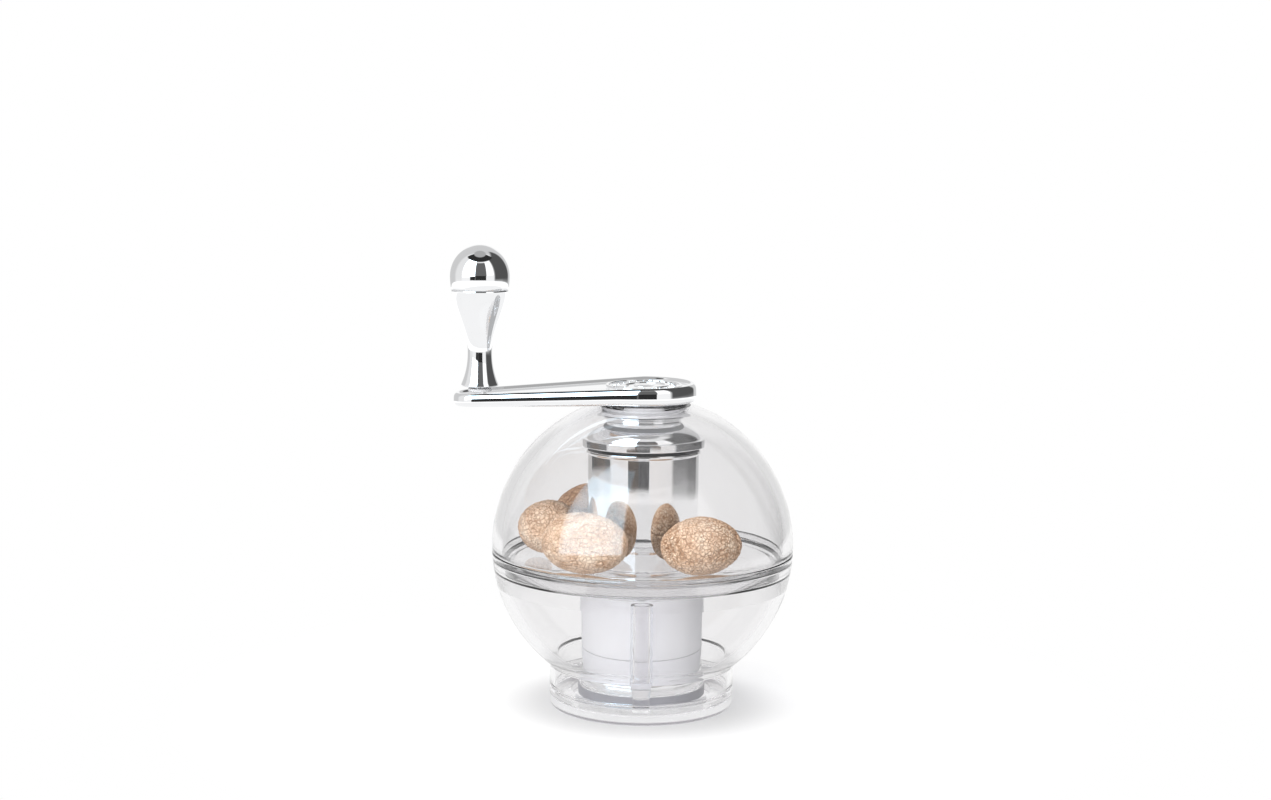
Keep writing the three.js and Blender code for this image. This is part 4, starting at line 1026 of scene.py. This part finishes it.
def knob_r(up):
    """Radius of the knob at a height above its underside: a flared base, a slim waist and a round head."""
    if up < KNOB_WAIST_UP:
        return KNOB_WAIST_R + (KNOB_BASE_R - KNOB_WAIST_R) * (1 - up / KNOB_WAIST_UP) ** KNOB_FLARE_POWER
    if up < KNOB_HEAD_UP:
        t = (up - KNOB_WAIST_UP) / (KNOB_HEAD_UP - KNOB_WAIST_UP)
        return KNOB_WAIST_R + (KNOB_HEAD_R - KNOB_WAIST_R) * (1 - math.cos(t * math.pi)) / 2
    t = (up - KNOB_HEAD_UP) / (KNOB_H - KNOB_HEAD_UP)
    return KNOB_HEAD_R * math.sqrt(max(0, 1 - t * t))


def knob():
    """The knob's lower part, turned: its profile from the base to the split, round the pin's bore."""
    bore = PIN_R + 0.1
    side = [(knob_r(up), KNOB_Z + up) for up in np.linspace(0.6, KNOB_SPLIT_UP - 0.12, 60)]
    turned("knob", [
        (bore, KNOB_Z, 0.1),
        (knob_r(0.3), KNOB_Z, 0.25),
        *side,
        (knob_r(KNOB_SPLIT_UP) - 0.12, KNOB_SPLIT_Z),
        (bore, KNOB_SPLIT_Z, 0.1),
    ], "knob", CHROME, columns=128, at=(-ARM_LEN, 0))


def knob_cap():
    """The rest of the knob's profile, turned and closed over the pin's head. Its points are spaced by the
    sine of an angle, so that they crowd towards the crown."""
    base = KNOB_SPLIT_Z + 0.1
    pocket = PIN_HEAD_R + GAP
    turns = np.linspace(0, math.pi / 2, 40)
    ups = KNOB_SPLIT_UP + 0.22 + (KNOB_H - KNOB_SPLIT_UP - 0.22) * np.sin(turns)
    turned("knob_cap", [
        (0, PIN_TOP + PIN_HEAD_T),
        (pocket, PIN_TOP + PIN_HEAD_T, 0.1),
        (pocket, base, 0.1),
        (knob_r(KNOB_SPLIT_UP) - 0.12, base),
        *[(knob_r(up), KNOB_Z + up) for up in ups[:-1]],
        (0, KNOB_Z + KNOB_H),
    ], "knob", CHROME, looped=False, columns=128, at=(-ARM_LEN, 0))


def knob_pin():
    """The knob's pin, turned: a head under the arm, a plain shank and a riveted head over the knob's bore."""
    under = float(arm_under_z(-ARM_LEN))
    turned("knob_pin", [
        (0, under),
        (PIN_HEAD_R, under, 0.3),
        (PIN_HEAD_R, under + PIN_HEAD_T, 0.1),
        (PIN_R, under + PIN_HEAD_T, 0.05),
        (PIN_R, KNOB_SPLIT_Z + GAP, 0.05),
        (PIN_HEAD_R, KNOB_SPLIT_Z + GAP, 0.1),
        (PIN_HEAD_R, PIN_TOP, 0.4),
        (0, PIN_TOP),
    ], "crank", STEEL, looped=False, columns=72, at=(-ARM_LEN, 0))


def knob_washer():
    """A flat ring between the arm and the knob."""
    outline = flat_ring(PIN_R + 0.1, KNOB_WASHER_R, TIP_TOP_Z, TIP_TOP_Z + KNOB_WASHER_T, 0.1, 0.15)
    turned("knob_washer", outline, "crank", NYLON, columns=72, at=(-ARM_LEN, 0))


# The stored nutmegs


def waves(points, seed, length, count=24):
    """A smooth random field: the mean of sine waves in random directions, of about that wavelength."""
    rng = np.random.default_rng(seed)
    way = rng.normal(size=(count, 3))
    way /= np.linalg.norm(way, axis=1)[:, None]
    turn = TAU / (length * rng.uniform(0.7, 1.4, count))
    phase = rng.uniform(0, TAU, count)
    return np.sin(points @ (way * turn[:, None]).T + phase).mean(1) * math.sqrt(count) / 2


def cell_border(points, seeds):
    """How far each point is from the border between its two nearest seeds: the difference of the two
    distances."""
    square = (points**2).sum(1)[:, None] + (seeds**2).sum(1)[None, :] - 2 * points @ seeds.T
    near = np.sqrt(np.maximum(np.partition(square, 1, axis=1)[:, :2], 0))
    near.sort(axis=1)
    return near[:, 1] - near[:, 0]


def nutmeg(index, angle, fill, long, tall, dark):
    """An egg shape lying on the floor along the ring, with low lumps, a net of furrows between cells of 2 mm
    and wrinkles along it. All of them only sink in, so that it stays in the space of its plain solid. Its
    furrow attribute also makes its upper side a little darker, as a painted shade."""
    store = BALL_IN_R - TUBE_R
    ring_r = TUBE_R + store / 2 - NUTMEG_SHIFT
    across = fill * store / 2
    size = np.array([across, ring_r * long, across * tall])
    rim_r = ball_x(BALL_IN_R - GAP, FLOOR_RIM_Z)
    inner_r = TUBE_R + GAP + COLLAR_T + COLLAR_FLARE
    floor_z = FLOOR_INNER_Z + (FLOOR_RIM_Z - FLOOR_INNER_Z) * (ring_r - inner_r) / (rim_r - inner_r)
    columns, rows = 300, 150
    u = full_turn(columns)[None, :]
    v = np.linspace(0, math.pi, rows + 1)[:, None]
    unit = np.stack([np.sin(v) * np.cos(u), -np.cos(v) + 0 * u, np.sin(v) * np.sin(u)], -1).reshape(-1, 3)
    egg = unit * size
    egg[:, [0, 2]] *= (1 - 0.05 * unit[:, 1])[:, None] / 1.05
    bent = egg + 0.5 * np.stack([waves(egg, 10 * index + k, 2.6) for k in range(3)], 1)
    rng = np.random.default_rng(100 + index)
    seeds = rng.normal(size=(NUTMEG_CELLS, 3))
    seeds = seeds / np.linalg.norm(seeds, axis=1)[:, None] * size
    squeeze = np.array([1, 0.72, 1])
    border = cell_border(bent * squeeze, seeds * squeeze)
    depth = 0.6 + 0.4 * waves(egg, 40 + index, 7)
    furrow = np.exp(-((border / FURROW_W) ** 2)) * np.clip(depth, 0.15, 1)
    wrinkle = 0.5 + 0.5 * waves(bent * np.array([1, 0.25, 1]), 60 + index, 1.5)
    lump = np.clip(0.5 + 0.35 * waves(egg, 80 + index, 9), 0, 1)
    scar = np.exp(-(((1 + unit[:, 1]) / 0.035) ** 2))
    sink = FURROW_SINK * furrow + WRINKLE_SINK * wrinkle + LUMP_SINK * lump + SCAR_SINK * scar
    egg = egg * (1 - sink / size.min())[:, None]
    egg[:, 0] += ring_r
    egg[:, 2] += floor_z + size[2] + GAP
    a = math.radians(angle)
    turn = np.array([[math.cos(a), math.sin(a), 0], [-math.sin(a), math.cos(a), 0], [0, 0, 1]])
    name = f"nutmeg_{index}"
    furrows_and_painted_shade = np.clip(furrow + 0.3 * wrinkle * wrinkle + 0.5 * scar, 0, 1)
    # Painted shade: the upper side of each nutmeg is darker, added on top of its own darkness.
    furrows_and_painted_shade += dark + 0.4 * np.clip(unit[:, 2], 0, 1)
    faces = grid_faces(rows + 1, columns, False)
    piece(name + "_look", egg @ turn, faces, "base", SHELL, [name], furrows_and_painted_shade)


for make in (upper_shell, lower_shell, base_cap, nutmeg_floor, posts, sleeve, chamber_tube, blade_housing,
             tube_cap, neck_bush, retaining_ring, thrust_washer, crank_arm, crank_mark, drive_shaft,
             plunger_spring, plunger_stem, claw_plate, claw_nut, knob, knob_cap, knob_pin, knob_washer):
    make()
for number, shape in enumerate(NUTMEGS, 1):
    nutmeg(number, *shape)
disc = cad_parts["blade_disc"].data
disc.materials.clear()
disc.materials.append(BLADE[0])


# Table, light and camera

TABLE_R = 0.34
TABLE_GLOW = 0.6
TABLE_TONE = 0.36
TABLE_BOUNCE = 0.5
PLAIN_BOUNCE = 0.45
SECOND_PLAIN = 0.85
FOOT_SHADE = 0.38
FOOT_SHADE_SECOND = 0.33

# The dark and bright patches of the studio, each over the ones before it. In degrees: azimuths from the
# camera's side, heights, and the softness of the edges. Then the brightness, how much of it mirrors in the
# open show, and how much what is seen through the plastic shows.
ALL_ROUND = (-999, 999)
PATCHES = (
    (*ALL_ROUND, 73, 999, 3, 0.44, 1, 1),
    (62, 140, -9, 60, 5, 0.09, 1, 1),
    (-150, -70, -9, 56, 5, 0.65, 0.4, 1),
    (-96, 96, 54, 74, 2, 0.03, 1, 0),
    (-12, 30, 4, 50, 1.2, 0.14, 1, 1),
    (-34, 28, -7.8, 4.6, 0.4, 0.03, 1, 0),
    (-15.5, -12, -7, 54, 0.5, 0.14, 1, 1),
    (*ALL_ROUND, -999, -9, 0.6, 1.25, 1, 1),
    (-31, 12, -8.6, -5, 0.15, 0.09, 0, 1),
    (-12, 32, -5, 5, 0.3, 0.1, 0, 1),
    (-132, -72, -7.1, -2, 0.4, 0.12, 0, 1),
)
REAR_GLOW = 0.66
DAYLIGHT_BEHIND = 0.4
DAYLIGHT_MORE = 0.7
WINDOW = (-66, -15.5, -8, 54, 1.6)
WINDOW_ABOVE = (-66, -15.5, 54, 70, 1.6)
WINDOW_SILL = (3.4, 6.2)
WINDOW_SLANT = 0.1
WINDOW_GLOW = 6.6
WINDOW_TINT = (0.60, 0.83, 1.0, 1)
RIGHT_WINDOW = (29.5, 59, 5, 53, 1.2)
RIGHT_WINDOW_GLOW = 1.3
LAMP_W = 0.5
LAMP_AIM = (0, 0, 0.045)
CAMERA_PLACE = (0, -0.5605, 0.1527)
CAMERA_PITCH = math.radians(7.704)
CAMERA_YAW = -0.003769
CAMERA_ROLL = 0.009732
CAMERA_LENS = 64.71


def table():
    """A white round of table top: rings of points whose radii grow by a power, so that the middle is finer.
    Beyond it, the world is as white. It stays under the base cap, which stands on it, so the cap shows when
    the rest is pulled off it."""
    turns = 96
    radii = np.linspace(0, 1, 24) ** 1.5 * TABLE_R / MM
    a = full_turn(turns)[None, :]
    r = radii[:, None]
    points = np.stack([r * np.cos(a), r * np.sin(a), 0 * r * a - 0.05], -1).reshape(-1, 3)
    mesh = bpy.data.meshes.new("table")
    mesh.from_pydata((points * MM).tolist(), [], grid_faces(len(radii), turns, False).tolist())
    ob = linked("table", mesh)
    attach(ob, "cap")

    def paper(f):
        """Near the foot, a grey face that takes the shadow, under a glow that makes it white. Far away, and
        mostly where a mirror or the plastic shows it, plain white. The soft shade of the foot is in both."""
        second = f.ray("Is Glossy Ray").most(f.ray("Is Transmission Ray"))
        seen = f.ray("Is Camera Ray").most(second)
        far = f.node("ShaderNodeVectorMath", {"operation": "LENGTH"}, {0: f.place()}, out="Value")
        foot = far.between(0.0200, 0.0222) * (1 - far.between(0.0228, 0.040))
        face = f.node("ShaderNodeBsdfDiffuse", {}, {"Color": (TABLE_TONE, TABLE_TONE, TABLE_TONE, 1)})
        glow = seen * TABLE_GLOW * (1 - foot * FOOT_SHADE) + (1 - seen) * TABLE_BOUNCE
        glow = f.node("ShaderNodeEmission", {}, {"Strength": glow})
        near = f.node("ShaderNodeAddShader", {}, {0: face, 1: glow})
        plain = seen * (1 - foot * FOOT_SHADE_SECOND) + (1 - seen) * PLAIN_BOUNCE
        plain = f.node("ShaderNodeEmission", {}, {"Strength": plain})
        share = far.between(0.045, 0.12).most(second * SECOND_PLAIN)
        f.surface(f.node("ShaderNodeMixShader", {}, {0: share, 1: near, 2: plain}))

    mesh.materials.append(material("table_white", paper)[0])


def studio():
    """The white world. The camera sees it plain, and soft daylight is stronger from the front. Mirrors and
    the plastic's reflections see a studio: a bright window at the front left, a pale one at the front right,
    the camera's dark place between them, dark sides, a dark beam above, the table's dark front edge and the
    bright table below. It is weaker inside the plastic, half as strong in a second mirror, and plain white
    for a path that turns more often."""
    world = bpy.context.scene.world = bpy.data.worlds.new("studio")
    f = Finish(world)
    way = f.node("ShaderNodeTexCoord", out="Generated")
    x, y, z = (f.node("ShaderNodeSeparateXYZ", {}, {0: way}, out=axis) for axis in "XYZ")
    azimuth = x.arctan2(y * -1) * (180 / math.pi)
    height = f.node("ShaderNodeMath", {"operation": "ARCSINE"}, {0: z}) * (180 / math.pi)

    def patch(left, right, low, high, soft):
        """1 inside a patch of the sky, and 0 outside it."""
        return azimuth.band(left, right, soft) * height.band(low, high, soft)

    def shade(level, share, to):
        """A level that goes over to another one by a share."""
        return level * (1 - share) + share * to

    crossed = f.ray("Transmission Depth")
    mirrors = f.ray("Glossy Depth")
    through = crossed > 0.5
    # The rear is dimmer, but for what is low and straight behind.
    turned_off = f.node("ShaderNodeMath", {"operation": "ABSOLUTE"}, {0: azimuth})
    rear = turned_off.between(96, 112) * (1 - turned_off.between(158, 166) * (1 - height.between(18, 30)))
    level = shade(1.0, rear, REAR_GLOW)
    for *edges, glow, in_open, behind in PATCHES:
        share = through * (behind - in_open) + in_open
        level = shade(level, patch(*edges) * share, glow)
    window = patch(*WINDOW) + patch(*WINDOW_ABOVE) * through
    window = window * height.between(*[sill + azimuth * WINDOW_SLANT for sill in WINDOW_SILL])
    level = shade(level, window, WINDOW_GLOW)
    level = shade(level, patch(*RIGHT_WINDOW), RIGHT_WINDOW_GLOW)

    mirrored = (mirrors > 0.5) - (mirrors > 1.5) * 0.5
    inside = through * (1 - (crossed > 3.5))
    lost = (mirrors > 2.5).most((crossed > 4.5) * (mirrors > 0.5))
    seen = shade(1.0, mirrored * (1 - inside * 0.4), level)
    seen = shade(seen, lost, 1.0)
    daylight = (y * -1).between(-0.5, 0.7) * DAYLIGHT_MORE + DAYLIGHT_BEHIND
    seen = shade(seen, f.ray("Diffuse Depth") > 0.5, daylight)
    tone = f.mix(window * mirrored, (1, 1, 1, 1), WINDOW_TINT)
    glow = f.node("ShaderNodeBackground", {}, {"Color": tone, "Strength": seen})
    f.node("ShaderNodeOutputWorld", {}, {"Surface": glow})


def aimed(name, data, place, back, roll=0.0):
    """A lamp or camera at a place, looking against the direction called back and level before its roll."""
    back = np.array(back) / np.linalg.norm(back)
    right = np.cross((0, 0, 1), back)
    right /= np.linalg.norm(right)
    up = np.cross(back, right)
    across = math.cos(roll) * right + math.sin(roll) * up
    over = math.cos(roll) * up - math.sin(roll) * right
    rows = np.stack([across, over, back], 1).tolist()
    ob = linked(name, data)
    ob.matrix_world = Matrix([(*row, p) for row, p in zip(rows, place)] + [(0, 0, 0, 1)])
    return ob


def lamp(name, place, power):
    """A soft square lamp, aimed at the ball. Mirrors don't see it, because the world holds the windows."""
    light = bpy.data.lights.new(name, "AREA")
    light.size = LAMP_W
    light.energy = power
    ob = aimed(name, light, place, np.subtract(place, LAMP_AIM))
    ob.visible_camera = ob.visible_glossy = ob.visible_transmission = False


def camera():
    """The photograph's view, solved from the ball, the foot, the cap and the crank."""
    lens = bpy.data.cameras.new("photo_view")
    lens.lens = CAMERA_LENS
    lens.sensor_width = 36
    lens.clip_start = 0.01
    lens.clip_end = 20
    level = math.cos(CAMERA_PITCH)
    back = (-math.sin(CAMERA_YAW) * level, -math.cos(CAMERA_YAW) * level, math.sin(CAMERA_PITCH))
    bpy.context.scene.camera = aimed("photo_view", lens, CAMERA_PLACE, back, CAMERA_ROLL)


table()
studio()
lamp("key", (-0.2, -0.05, 0.8), 3.9)
lamp("fill", (-0.3, -0.7, 0.3), 5.2)
camera()

bpy.context.scene.view_settings.view_transform = "Standard"
cycles = bpy.context.scene.cycles
cycles.max_bounces = 24
cycles.transmission_bounces = 22
cycles.glossy_bounces = 10
cycles.transparent_max_bounces = 24
